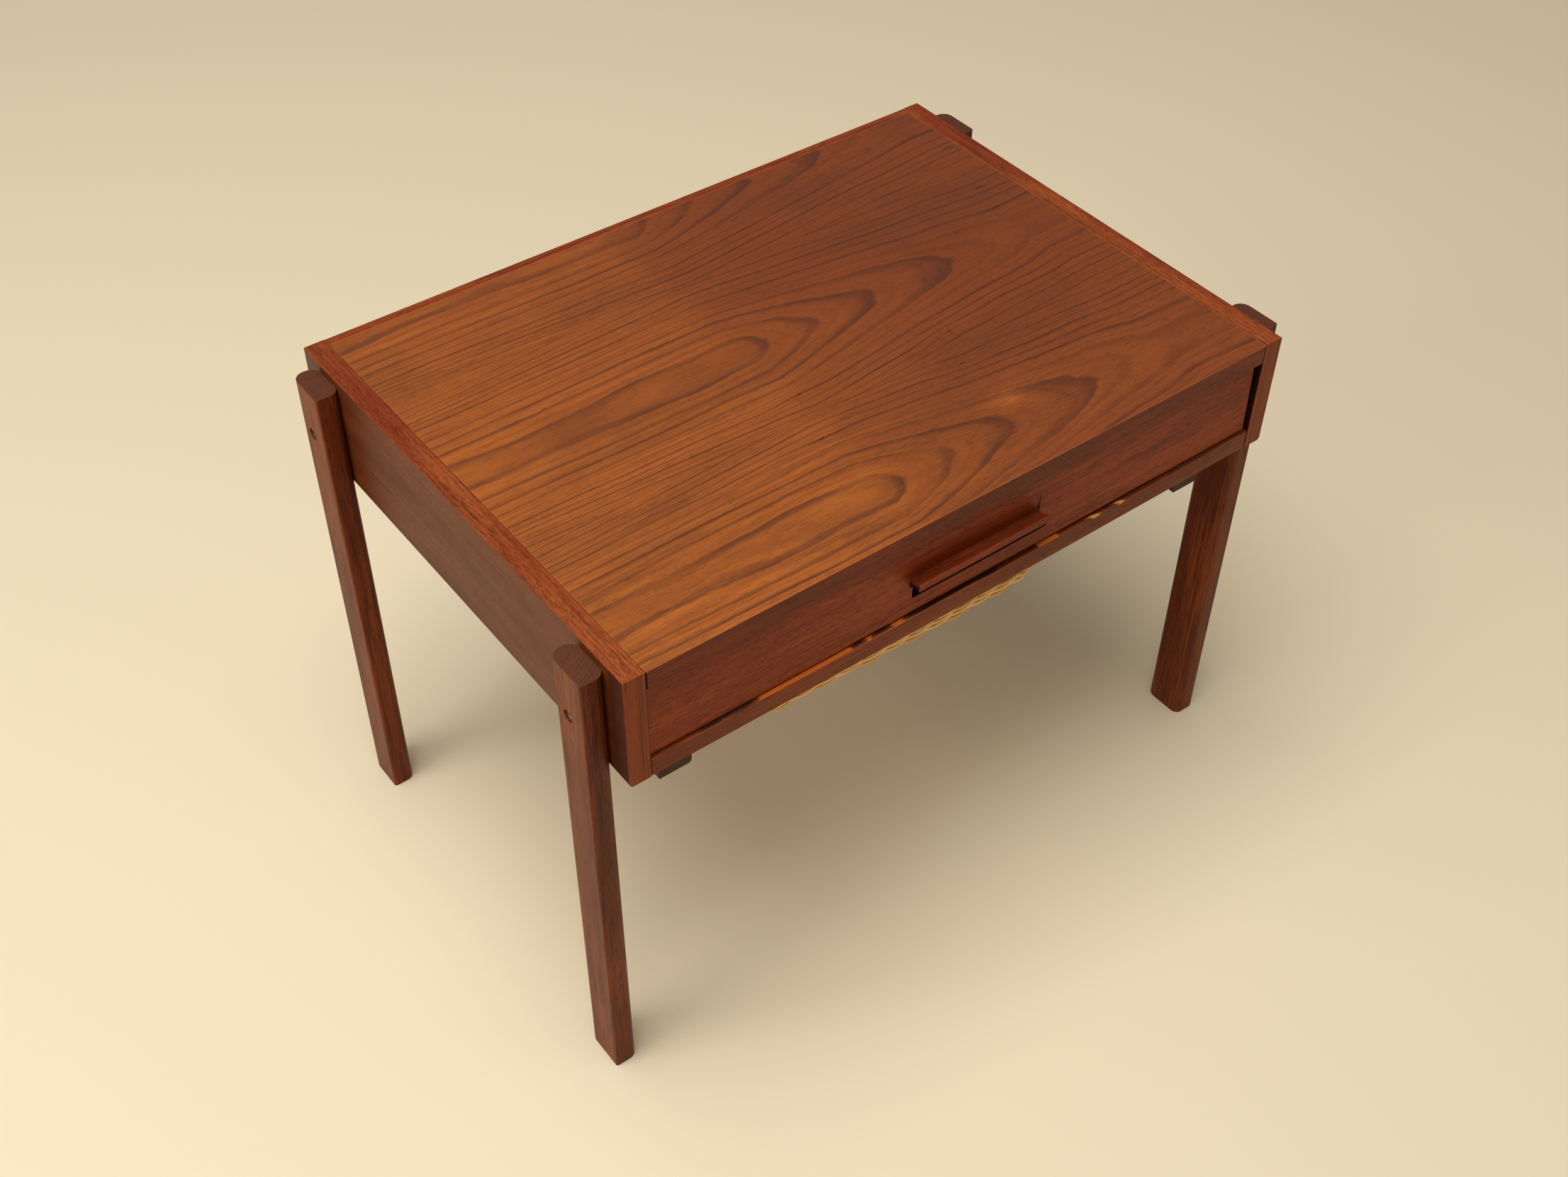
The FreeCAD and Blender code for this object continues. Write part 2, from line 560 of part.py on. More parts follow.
def handle_end_cutter(side):
    """Wedge that leaves the handle longer at its lip than at the drawer face."""
    near = HANDLE_LENGTH / 2
    far = near + HANDLE_FLARE
    low = HEIGHT - POCKET_BOTTOM_DROP
    outline = [Vector(DRAWER_SHIFT + side * near, DRAWER_FACE + END_CUT_MARGIN, low),
               Vector(DRAWER_SHIFT + side * near, DRAWER_FACE, low),
               Vector(DRAWER_SHIFT + side * far, DRAWER_FACE - HANDLE_REACH, low),
               Vector(DRAWER_SHIFT + side * far, DRAWER_FACE - END_CUT_MARGIN, low),
               Vector(DRAWER_SHIFT + side * (far + END_CUT_MARGIN), DRAWER_FACE - END_CUT_MARGIN, low),
               Vector(DRAWER_SHIFT + side * (far + END_CUT_MARGIN), DRAWER_FACE + END_CUT_MARGIN, low)]
    face = Part.Face(Part.makePolygon(outline + outline[:1]))
    return face.extrude(Vector(0, 0, POCKET_BOTTOM_DROP))


def drawer_handle():
    reach = HANDLE_LENGTH / 2 + HANDLE_FLARE + CUT_MARGIN
    bar = handle_profile().extrude(Vector(2 * reach, 0, 0))
    bar.translate(Vector(DRAWER_SHIFT - reach, 0, 0))
    return bar.cut([handle_end_cutter(1), handle_end_cutter(-1)])


def handle_pocket():
    """Mortise for the handle's tongue, and the finger slot under it with rounded ends."""
    reach = HANDLE_LENGTH / 2
    top = HEIGHT - HANDLE_DROP
    bottom = HEIGHT - POCKET_BOTTOM_DROP
    y = DRAWER_FACE + POCKET_DEPTH
    left = DRAWER_SHIFT - POCKET_LEFT
    right = DRAWER_SHIFT + POCKET_RIGHT
    corners = [Vector(left, y, bottom), Vector(right, y, bottom),
               Vector(right, y, bottom + SLOT_HEIGHT), Vector(left, y, bottom + SLOT_HEIGHT)]
    wire = rounded_outline(corners, [SLOT_ROUND] * len(corners))
    slot = Part.Face(wire).extrude(Vector(0, -POCKET_DEPTH - CUT_MARGIN, 0))
    front = DRAWER_FACE - CUT_MARGIN
    room = block(left, DRAWER_SHIFT + reach, front, y, bottom + SLOT_HEIGHT / 2, top - TONGUE_THICKNESS)
    mortise = block(DRAWER_SHIFT - reach, DRAWER_SHIFT + reach, front, y, top - TONGUE_THICKNESS, top)
    return [slot, room, mortise]


def handle_cove():
    """Shallow hollow in the drawer face above the handle; it fades out upwards."""
    x = DRAWER_SHIFT - HANDLE_LENGTH / 2
    low = HEIGHT - HANDLE_DROP
    deep = DRAWER_FACE + COVE_DEPTH
    curve = Part.BezierCurve()
    curve.setPoles([Vector(x, deep, low), Vector(x, deep, low + COVE_HEIGHT * COVE_LOWER_POLE),
                    Vector(x, DRAWER_FACE, low + COVE_HEIGHT * COVE_UPPER_POLE),
                    Vector(x, DRAWER_FACE, low + COVE_HEIGHT)])
    front = DRAWER_FACE - CUT_MARGIN
    outline = [Vector(x, DRAWER_FACE, low + COVE_HEIGHT), Vector(x, front, low + COVE_HEIGHT),
               Vector(x, front, low), Vector(x, deep, low)]
    wire = Part.Wire([curve.toShape()] + Part.makePolygon(outline).Edges)
    return Part.Face(wire).extrude(Vector(HANDLE_LENGTH, 0, 0))


def side_tenon(x0, x1):
    return block(x0, x1, DRAWER_INSIDE - DRAWER_TENON, DRAWER_INSIDE, DRAWER_SIDE_BOTTOM, DRAWER_SIDE_TOP)


def drawer_front():
    """Front board; its right end was planed out of square, so the gap there widens upwards."""
    left = DRAWER_SHIFT - DRAWER_WIDTH / 2
    right = DRAWER_SHIFT + DRAWER_WIDTH / 2
    outline = [Vector(left, DRAWER_FACE, DRAWER_FRONT_BOTTOM),
               Vector(right, DRAWER_FACE, DRAWER_FRONT_BOTTOM),
               Vector(right - DRAWER_RIGHT_LEAN, DRAWER_FACE, DRAWER_FRONT_TOP),
               Vector(left, DRAWER_FACE, DRAWER_FRONT_TOP)]
    board = Part.Face(Part.makePolygon(outline + outline[:1])).extrude(Vector(0, DRAWER_FRONT_THICKNESS, 0))
    board = board.makeFillet(EDGE_ROUND, board.Edges)
    bottom_groove = block(BOX_LEFT + DRAWER_SIDE - DRAWER_HOUSING, BOX_RIGHT - DRAWER_SIDE + DRAWER_HOUSING,
                          DRAWER_INSIDE - DRAWER_HOUSING, DRAWER_INSIDE,
                          DRAWER_FLOOR - DRAWER_BOTTOM, DRAWER_FLOOR)
    tenons = [side_tenon(BOX_LEFT, BOX_LEFT + DRAWER_SIDE), side_tenon(BOX_RIGHT - DRAWER_SIDE, BOX_RIGHT)]
    return board.cut(handle_pocket() + [handle_cove(), bottom_groove] + tenons)


def drawer_side(x0, x1, groove_outward):
    """Drawer side with an outer groove for the runner and housings for back and bottom."""
    rear = FRONT + DRAWER_SIDE_END
    board = block(x0, x1, DRAWER_INSIDE - DRAWER_TENON, rear, DRAWER_SIDE_BOTTOM, DRAWER_SIDE_TOP)
    if groove_outward > 0:
        groove_x = (x1 - RUNNER_GROOVE_DEPTH, x1)
        housing_x = (x0, x0 + DRAWER_HOUSING)
    else:
        groove_x = (x0, x0 + RUNNER_GROOVE_DEPTH)
        housing_x = (x1 - DRAWER_HOUSING, x1)
    groove_start = FRONT + RUNNER_START - RUNNING_GAP
    groove = block(groove_x[0], groove_x[1], groove_start, rear,
                   RUNNER_BOTTOM - RUNNING_GAP, RUNNER_TOP + RUNNING_GAP)
    bottom = block(housing_x[0], housing_x[1], DRAWER_INSIDE - DRAWER_TENON, FRONT + DRAWER_BACK_END,
                   DRAWER_FLOOR - DRAWER_BOTTOM, DRAWER_FLOOR)
    back = block(housing_x[0], housing_x[1], FRONT + DRAWER_BACK_END - DRAWER_SIDE, FRONT + DRAWER_BACK_END,
                 DRAWER_FLOOR, DRAWER_SIDE_TOP)
    return board.cut([groove, bottom, back])


def drawer_left_side():
    return drawer_side(BOX_LEFT, BOX_LEFT + DRAWER_SIDE, -1)


def drawer_right_side():
    return drawer_side(BOX_RIGHT - DRAWER_SIDE, BOX_RIGHT, 1)


def drawer_back():
    left = BOX_LEFT + DRAWER_SIDE - DRAWER_HOUSING
    right = BOX_RIGHT - DRAWER_SIDE + DRAWER_HOUSING
    rear = FRONT + DRAWER_BACK_END
    board = block(left, right, rear - DRAWER_SIDE, rear, DRAWER_FLOOR, DRAWER_SIDE_TOP)
    return board.cut(drawer_bottom_nails())


def drawer_bottom():
    left = BOX_LEFT + DRAWER_SIDE - DRAWER_HOUSING
    right = BOX_RIGHT - DRAWER_SIDE + DRAWER_HOUSING
    sheet = block(left, right, DRAWER_INSIDE - DRAWER_HOUSING, FRONT + DRAWER_BACK_END,
                  DRAWER_FLOOR - DRAWER_BOTTOM, DRAWER_FLOOR)
    return sheet.cut(drawer_bottom_nails())


def drawer_long_divider():
    return block(BOX_LEFT + DRAWER_SIDE, BOX_RIGHT - DRAWER_SIDE, LONG_DIVIDER_Y, LONG_DIVIDER_Y + DIVIDER,
                 DRAWER_FLOOR, DRAWER_FLOOR + DIVIDER_HEIGHT)


def drawer_cross_divider(index):
    inside = DRAWER_BOX_WIDTH - 2 * DRAWER_SIDE
    bay = (inside - CROSS_DIVIDERS * DIVIDER) / (CROSS_DIVIDERS + 1)
    x = BOX_LEFT + DRAWER_SIDE + (index + 1) * bay + index * DIVIDER
    return block(x, x + DIVIDER, DRAWER_INSIDE, LONG_DIVIDER_Y, DRAWER_FLOOR, DRAWER_FLOOR + DIVIDER_HEIGHT)


# ---- basket ----
def basket_frame_right_bar():
    bar = block(FRAME_INNER, FRAME_OUTER, FRAME_FRONT, FRAME_BACK, FRAME_BOTTOM, FRAME_TOP)
    outer = [edge for edge in bar.Edges if edge.BoundBox.XMin > FRAME_OUTER - CUT_MARGIN]
    upright = [edge for edge in outer if edge.BoundBox.ZLength > FRAME_THICKNESS / 2]
    return bar.makeFillet(FRAME_CORNER_ROUND, upright).cut(frame_dowels())


def basket_frame_front_bar():
    rear = FRAME_FRONT + FRAME_FRONT_BAR
    bar = block(-FRAME_INNER, FRAME_INNER, FRAME_FRONT, rear, FRAME_BOTTOM, FRAME_TOP)
    return bar.cut(frame_dowels())


def basket_frame_back_bar():
    front = FRAME_BACK - FRAME_BACK_BAR
    bar = block(-FRAME_INNER, FRAME_INNER, front, FRAME_BACK, FRAME_BOTTOM, FRAME_TOP)
    return bar.cut(frame_dowels())


def basket_body(inset, bottom_height):
    """Tapered body with an upright collar, drawn in from the basket's outside by inset."""
    top = rounded_rectangle(BASKET_TOP_LENGTH - 2 * inset, BASKET_TOP_WIDTH - 2 * inset,
                            BASKET_TOP_CORNER - inset, Vector(0, BASKET_Y, BASKET_SHOULDER))
    bottom = rounded_rectangle(BASKET_BOTTOM_LENGTH - 2 * inset, BASKET_BOTTOM_WIDTH - 2 * inset,
                               BASKET_BOTTOM_CORNER - inset, Vector(0, BASKET_Y, bottom_height))
    collar = Part.Face(top).extrude(Vector(0, 0, BASKET_TOP - BASKET_SHOULDER))
    return Part.makeLoft([bottom, top], True, True).fuse(collar)


def basket_wicker():
    outside = basket_body(0, BASKET_BOTTOM)
    inside = basket_body(BASKET_WALL, BASKET_BOTTOM + BASKET_WALL)
    return outside.cut(inside)


def basket_rim():
    """Round cane rim around the collar, lying on the frame."""
    height = FRAME_TOP + RIM_DIAMETER / 2
    offset = RIM_DIAMETER / 2 + RIM_GAP
    path = rounded_rectangle(BASKET_TOP_LENGTH + 2 * offset, BASKET_TOP_WIDTH + 2 * offset,
                             BASKET_TOP_CORNER + offset, Vector(0, BASKET_Y, height))
    start = Vector(0, BASKET_Y - BASKET_TOP_WIDTH / 2 - offset, height)
    section = Part.Wire([Part.makeCircle(RIM_DIAMETER / 2, start, X_AXIS)])
    return path.makePipeShell([section], True, False)


def build_nodes():
    nodes = {
        "side_panel_right": right_side_panel(),
        "side_panel_left": mirrored(right_side_panel()),
        "top_panel": top_panel(),
        "top_front_lipping": top_front_lipping(),
        "top_back_lipping": top_back_lipping(),
        "top_veneer": top_veneer(),
        "back_panel": back_panel(),
        "front_rail": front_rail(),
        "back_rail": back_rail(),
        "drawer_runner_right": right_drawer_runner(),
        "drawer_runner_left": mirrored(right_drawer_runner()),
        "drawer_stops": group(drawer_stops()),
        "basket_runner_right": right_basket_runner(),
        "basket_runner_left": mirrored(right_basket_runner()),
        "leg_front_right": right_leg(FRONT_LEG_Y),
        "leg_front_left": mirrored(right_leg(FRONT_LEG_Y)),
        "leg_rear_right": right_leg(REAR_LEG_Y),
        "leg_rear_left": mirrored(right_leg(REAR_LEG_Y)),
        "leg_bolts": group(leg_bolts()),
        "leg_inserts": group(leg_inserts()),
        "leg_dowels": group(leg_dowels()),
        "top_dowels": group(top_dowels()),
        "rail_dowels": group(rail_dowels()),
        "back_panel_dowels": group(back_panel_dowels()),
        "drawer_runner_screws": group(drawer_runner_screws()),
        "basket_runner_screws": group(basket_runner_screws()),
        "drawer_front": drawer_front(),
        "drawer_handle": drawer_handle(),
        "drawer_side_left": drawer_left_side(),
        "drawer_side_right": drawer_right_side(),
        "drawer_back": drawer_back(),
        "drawer_bottom": drawer_bottom(),
        "drawer_bottom_nails": group(drawer_bottom_nails()),
        "drawer_long_divider": drawer_long_divider(),
        "basket_frame_right": basket_frame_right_bar(),
        "basket_frame_left": mirrored(basket_frame_right_bar()),
        "basket_frame_front": basket_frame_front_bar(),
        "basket_frame_back": basket_frame_back_bar(),
        "basket_frame_dowels": group(frame_dowels()),
        "basket_wicker": basket_wicker(),
        "basket_rim": basket_rim(),
    }
    for index in range(CROSS_DIVIDERS):
        nodes["drawer_cross_divider_%d" % (index + 1)] = drawer_cross_divider(index)
    return nodes


def main():
    os.makedirs("parts", exist_ok=True)
    for name, shape in build_nodes().items():
        shape.exportStep("parts/%s.step" % name)
        print(name, len(shape.Solids), round(shape.Volume), shape.isValid())


main()
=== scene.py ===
import math
import random

import bpy
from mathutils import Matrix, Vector


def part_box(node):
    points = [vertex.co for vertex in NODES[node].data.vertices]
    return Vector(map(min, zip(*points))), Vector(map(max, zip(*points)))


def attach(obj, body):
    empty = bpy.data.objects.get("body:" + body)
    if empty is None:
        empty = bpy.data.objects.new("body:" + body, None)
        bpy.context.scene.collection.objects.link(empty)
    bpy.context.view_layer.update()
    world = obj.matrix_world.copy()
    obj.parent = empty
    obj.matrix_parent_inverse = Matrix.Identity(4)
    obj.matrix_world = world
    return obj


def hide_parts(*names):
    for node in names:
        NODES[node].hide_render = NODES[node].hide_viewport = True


# Sewing table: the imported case, drawer and runners keep their meshes and get wood and metal
# materials; the basket is woven here from canes. Metres, except inside the materials, whose
# grain works in millimetres.

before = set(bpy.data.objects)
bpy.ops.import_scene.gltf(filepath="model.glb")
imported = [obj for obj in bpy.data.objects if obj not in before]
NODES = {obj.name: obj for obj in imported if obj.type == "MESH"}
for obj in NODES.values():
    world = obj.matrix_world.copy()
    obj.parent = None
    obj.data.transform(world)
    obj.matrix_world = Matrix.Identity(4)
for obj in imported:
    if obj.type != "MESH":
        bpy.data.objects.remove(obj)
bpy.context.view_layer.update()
MM = 1000.0                     # millimetres in a metre


def box_in_mm(node):
    """Lowest and highest corner of a CAD node, in millimetres."""
    low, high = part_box(node)
    return low * MM, high * MM


def srgb(red, green, blue):
    """Linear colour from screen values of 0 to 255."""
    def linear(value):
        share = value / 255
        return share / 12.92 if share <= 0.04045 else ((share + 0.055) / 1.055) ** 2.4
    return (linear(red), linear(green), linear(blue), 1.0)


# ---- colours ----
TOP_LIGHT = srgb(170, 93, 29)
TOP_MID = srgb(122, 57, 21)
TOP_DARK = srgb(66, 33, 20)
STRIP_LIGHT = srgb(150, 74, 32)
STRIP_MID = srgb(130, 54, 22)
STRIP_DARK = srgb(66, 24, 14)
FRONT_LIGHT = srgb(158, 66, 18)
FRONT_MID = srgb(140, 54, 14)
FRONT_DARK = srgb(76, 34, 18)
LIPPING_LIGHT = srgb(132, 54, 18)
LIPPING_MID = srgb(110, 46, 18)
RAIL_LIGHT = srgb(142, 64, 22)
RAIL_MID = srgb(122, 52, 18)
SIDE_LIGHT = srgb(104, 50, 18)
SIDE_MID = srgb(88, 40, 14)
SIDE_DARK = srgb(54, 26, 12)
# painted shadow that the front legs cast on the side panels
LEG_SHADOW_SIDE = srgb(50, 22, 14)
LEG_LIGHT = srgb(130, 58, 16)
LEG_MID = srgb(106, 42, 10)
LEG_DARK = srgb(58, 22, 8)
DARK_LIGHT = srgb(84, 54, 42)
DARK_MID = srgb(62, 38, 30)
DARK_DARK = srgb(38, 22, 18)
BEECH_LIGHT = srgb(206, 168, 120)
BEECH_MID = srgb(186, 146, 100)
BEECH_DARK = srgb(150, 108, 70)
PORE = srgb(34, 16, 11)
END_GRAIN = srgb(84, 52, 38)
BARE_WOOD = srgb(206, 104, 36)
CHIPPED_WOOD = srgb(222, 150, 70)
# rubbed dark finish on the rail's ledge, also the colour of the handle's painted shadow there
RUBBED_FINISH_AND_SHADE = srgb(54, 32, 30)
# painted shade in the hollow above the drawer handle
COVE_SHADE_RED = srgb(104, 38, 18)
HANDLE_LIGHT = srgb(136, 58, 22)
HANDLE_MID = srgb(110, 42, 16)
HANDLE_DARK = srgb(62, 26, 14)
RATTAN_LIGHT = srgb(255, 214, 142)
RATTAN_MID = srgb(250, 192, 108)
RATTAN_DARK = srgb(196, 128, 56)
RATTAN_SHADE = srgb(66, 34, 14)   # painted shade on the sides of canes that lie inside the weave
STEEL = srgb(176, 178, 178)
BRASS = srgb(214, 176, 96)
FLOOR_COLOUR = srgb(224, 211, 182)


# Light, middle and dark tone of each wood.
STRIP_TONES = (STRIP_LIGHT, STRIP_MID, STRIP_DARK)
FRONT_TONES = (FRONT_LIGHT, FRONT_MID, FRONT_DARK)
LEG_TONES = (LEG_LIGHT, LEG_MID, LEG_DARK)
DARK_TONES = (DARK_LIGHT, DARK_MID, DARK_DARK)
BEECH_TONES = (BEECH_LIGHT, BEECH_MID, BEECH_DARK)
LIPPING_TONES = (LIPPING_LIGHT, LIPPING_MID, FRONT_DARK)
RAIL_TONES = (RAIL_LIGHT, RAIL_MID, FRONT_DARK)
HANDLE_TONES = (HANDLE_LIGHT, HANDLE_MID, HANDLE_DARK)


# ---- node trees ----
class Graph:
    """A material's node tree. Each method adds nodes and gives back an output socket."""

    def __init__(self, name):
        self.material = bpy.data.materials.new(name)
        self.material.use_nodes = True
        self.tree = self.material.node_tree
        self.shader = self.tree.nodes["Principled BSDF"]

    def put(self, socket, value):
        if isinstance(value, bpy.types.NodeSocket):
            self.tree.links.new(value, socket)
        else:
            socket.default_value = value

    def add(self, kind, inputs, output=0, **settings):
        made = self.tree.nodes.new(kind)
        for key, value in settings.items():
            setattr(made, key, value)
        for key, value in inputs.items():
            self.put(made.inputs[key], value)
        return made.outputs[output]

    def calc(self, operation, *values):
        return self.add("ShaderNodeMath", dict(enumerate(values)), operation=operation)

    def vector(self, operation, *values):
        return self.add("ShaderNodeVectorMath", dict(enumerate(values)), operation=operation)

    def split(self, vector):
        parts = self.tree.nodes.new("ShaderNodeSeparateXYZ")
        self.put(parts.inputs[0], vector)
        return parts.outputs[0], parts.outputs[1], parts.outputs[2]

    def join(self, x, y, z):
        return self.add("ShaderNodeCombineXYZ", {0: x, 1: y, 2: z})

    def span(self, value, low, high, to_low=0.0, to_high=1.0):
        """Smooth step of value from low to high."""
        return self.add("ShaderNodeMapRange", {0: value, 1: low, 2: high, 3: to_low, 4: to_high},
                        interpolation_type="SMOOTHSTEP")

    def product(self, first, *others):
        for other in others:
            first = self.calc("MULTIPLY", first, other)
        return first

    def opposite(self, value):
        """1 where the value is 0, and 0 where it is 1."""
        return self.calc("SUBTRACT", 1.0, value)

    def mix(self, share, first, second):
        """Colour between the first, at share 0, and the second, at share 1."""
        return self.add("ShaderNodeMix", {0: share, 6: first, 7: second}, output=2, data_type="RGBA")

    def noise(self, place, size, detail=2.0, roughness=0.5):
        """Noise whose features are about size millimetres long along each axis."""
        scaled = self.vector("MULTIPLY", place, tuple(1.0 / s for s in size))
        return self.add("ShaderNodeTexNoise",
                        {"Vector": scaled, "Scale": 1.0, "Detail": detail, "Roughness": roughness})

    def grain_place(self, axis, offset=(0.0, 0.0, 0.0)):
        """Object coordinates in millimetres, turned so that the first one runs along the grain."""
        coordinates = self.tree.nodes.new("ShaderNodeTexCoord").outputs["Object"]
        scaled = self.vector("SCALE", coordinates)
        scaled.node.inputs["Scale"].default_value = MM
        x, y, z = self.split(scaled)
        turned = {"X": (x, y, z), "Y": (y, x, z), "Z": (z, x, y)}[axis]
        return self.vector("ADD", self.join(*turned), offset)

    def facing(self, axis):
        """Near 1 on faces square to the axis, and 0 on faces along it."""
        normal = self.tree.nodes.new("ShaderNodeTexCoord").outputs["Normal"]
        part = self.split(normal)["XYZ".index(axis)]
        return self.span(self.calc("ABSOLUTE", part), 0.55, 0.85)

    def edge_distance(self, node):
        """Millimetres from the nearest edge of the node's box, on the box's faces."""
        low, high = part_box(node)
        coordinates = self.tree.nodes.new("ShaderNodeTexCoord").outputs["Object"]
        distances = []
        for part, start, end in zip(self.split(coordinates), low, high):
            from_low = self.calc("SUBTRACT", part, start)
            from_high = self.calc("SUBTRACT", end, part)
            distances.append(self.calc("MINIMUM", from_low, from_high))
        a, b, c = distances
        middle = self.calc("MAXIMUM", self.calc("MINIMUM", a, b),
                           self.calc("MINIMUM", self.calc("MAXIMUM", a, b), c))
        return self.calc("MULTIPLY", middle, MM)

    def finish(self, colour, roughness, height, depth, sheen=0.14):
        """Connects colour, roughness and a height of 0 to 1 that stands for depth millimetres."""
        self.shader.inputs["Specular IOR Level"].default_value = sheen
        self.put(self.shader.inputs["Base Color"], colour)
        self.put(self.shader.inputs["Roughness"], roughness)
        bump = self.add("ShaderNodeBump", {"Height": height, "Distance": depth / MM, "Strength": 1.0})
        self.put(self.shader.inputs["Normal"], bump)
        return self.material


# ---- wood ----
def pores(g, place, length=8.0, width=0.45, amount=0.62):
    """Short dark dashes along the grain."""
    fine = g.noise(place, (length, width, width), detail=1.0)
    crowd = g.noise(place, (60.0, 9.0, 9.0), detail=1.0)
    level = g.calc("SUBTRACT", amount + 0.1, g.calc("MULTIPLY", crowd, 0.2))
    return g.span(g.calc("SUBTRACT", fine, level), 0.0, 0.10)


def ring_shade(g, rings, seed):
    """Dark late wood: it deepens across each ring and ends sharply; some rings are fainter."""
    inside = g.calc("FRACT", rings)
    slow = g.span(inside, 0.10, 0.86, 0.0, 0.4)
    deepening = g.calc("MULTIPLY_ADD", g.span(inside, 0.62, 0.86), 0.6, slow)
    ending = g.span(inside, 0.88, 1.0, 1.0, 0.0)
    number = g.calc("ADD", g.calc("FLOOR", rings), seed)
    strength = g.add("ShaderNodeTexWhiteNoise", {"W": number}, noise_dimensions="1D")
    strength = g.calc("MULTIPLY_ADD", strength, 0.6, 0.4)
    return g.product(deepening, ending, strength)


def board_rings(g, place, pith, spacing, wander):
    """Growth rings of a plank, counted from a pith line outside it."""
    across, depth = g.split(place)[1:]
    slow = g.noise(place, (220.0, 50.0, 50.0), detail=2.0)
    quick = g.noise(place, (60.0, 9.0, 9.0), detail=2.0)
    a = g.calc("SUBTRACT", across, pith[0])
    b = g.calc("SUBTRACT", depth, pith[1])
    distance = g.calc("SQRT", g.calc("ADD", g.product(a, a), g.product(b, b)))
    bent = g.calc("MULTIPLY_ADD", slow, wander, g.calc("MULTIPLY_ADD", quick, wander * 0.12, distance))
    return g.calc("DIVIDE", bent, spacing)


def wood(name, node, axis, tones, pith, spacing=3.2, wander=9.0, seed=0.0, ring_depth=0.55,
         streak_depth=0.7, pore_amount=0.60, roughness=0.42, wear=0.35, end_tone=END_GRAIN, end_share=0.8):
    """Oiled wood with rings, streaks, pores, darker end grain and rubbed edges.

    Gives the graph and its colour, roughness and height, for the caller to finish. The pith is
    where the rings' centre lies across the grain, in millimetres."""
    g = Graph(name)
    light, mid, dark = tones
    place = g.grain_place(axis, (seed * 131.0, 0.0, 0.0))
    rings = board_rings(g, place, pith, spacing, wander)
    shade = ring_shade(g, rings, seed)
    broad = g.noise(place, (150.0, 22.0, 22.0), detail=3.0)
    streaks = g.noise(place, (70.0, 2.2, 2.2), detail=3.0, roughness=0.65)
    fibres = g.noise(place, (26.0, 0.6, 0.6), detail=2.0)
    holes = pores(g, place, amount=pore_amount)
    colour = g.mix(g.span(broad, 0.38, 0.62), mid, light)
    colour = g.mix(g.calc("MULTIPLY", shade, ring_depth), colour, dark)
    colour = g.mix(g.span(streaks, 0.48, 0.68, 0.0, streak_depth), colour, dark)
    colour = g.mix(g.span(fibres, 0.45, 0.70, 0.0, streak_depth * 0.5), colour, dark)
    colour = g.mix(g.calc("MULTIPLY", holes, 0.7), colour, PORE)
    end = g.facing(axis)
    end_colour = g.mix(g.calc("MULTIPLY", shade, 0.55), end_tone, PORE)
    colour = g.mix(g.calc("MULTIPLY", end, end_share), colour, end_colour)
    edge = g.edge_distance(node)
    reach = g.noise(place, (30.0, 5.0, 5.0), detail=2.0)
    rubbed = g.opposite(g.span(edge, 0.2, g.calc("MULTIPLY", reach, 2.0)))
    colour = g.mix(g.calc("MULTIPLY", rubbed, wear), colour, light)
    gloss = g.calc("MULTIPLY_ADD", g.noise(place, (45.0, 14.0, 14.0)), 0.16, roughness - 0.08)
    gloss = g.calc("MULTIPLY_ADD", end, 0.05, gloss)
    height = g.calc("SUBTRACT", g.calc("MULTIPLY", fibres, 0.5), holes)
    return g, colour, gloss, height


def board(name, node, axis, tones, pith, depth=0.10, **options):
    """Finished material of a plain wooden piece."""
    g, colour, gloss, height = wood(name, node, axis, tones, pith, **options)
    return g.finish(colour, gloss, height, depth)


# ---- the top's flame veneer ----
LEAF_JOINT = -71.4              # y of the joint between the front and middle leaves
LEAF_WIDTH = 186.5
LEAF_SHIFT = 18.0               # each next leaf's figure lies this much further along
FLAME_CENTRE = 91.0             # from a leaf's joint to the middle of its figure
OUTER_ARCH = 67.0               # ring distance of the largest arch
OUTER_TIP = 177.0               # how far along that arch's tip lies
ARCH_DEPTH = 26.0               # how much nearer the pith the leaf is at the arches' feet
ARCH_REACH = 208.0              # from the largest arch's tip back to the arches' feet
ARCH_POWER = 1.42               # 1 gives round arches, 2 pointed ones with straight sides
ARCH_LIMITS = (-0.3, 1.02)      # shares of the reach between which the arches are bent
RING_SPACING = 7.8
RING_CROWDING = 0.0010          # how fast the rings close up outside the largest arch
RING_WAVES = ((5.0, (150.0, 40.0, 40.0), 1.0), (1.7, (52.0, 13.0, 13.0), 2.0),
              (0.8, (14.0, 3.5, 3.5), 1.0))  # height, size and detail of each
PINCH = -36.0                   # where along the leaf its outer lines come closest to the joint
PINCH_RATE = 0.085              # how fast they part again to the left of it
HOLLOW = (-95.0, FLAME_CENTRE, 75.0, 60.0)   # where the innermost ring closes
HOLLOW_DEPTH = 1.6
KNOTS = ((-36.0, 25.0, 2.6, 1.2), (102.0, 18.0, 3.0, 1.0), (254.0, 154.5, 9.0, 0.9))   # in a leaf
KNOT_SWIRL = (22.0, 8.0)        # how far along and across the lines bend round the first two
KNOT_BULGE = 3.0
GLOW = (84.0, -140.0, 12.0, 7.0)             # a brighter spot in the front leaf
GOLDEN_STEP = -38.0              # left of here the top is a more golden brown


def veneer_leaf(g, place):
    """Place within a book-matched leaf: along, across from its joint, and leaf number."""
    x, y = g.split(place)[:2]
    from_joint = g.calc("SUBTRACT", y, LEAF_JOINT)
    across = g.calc("PINGPONG", from_joint, LEAF_WIDTH)
    leaf = g.calc("FLOOR", g.calc("DIVIDE", from_joint, LEAF_WIDTH))
    along = g.calc("SUBTRACT", x, g.calc("MULTIPLY", leaf, LEAF_SHIFT))
    return along, across, leaf


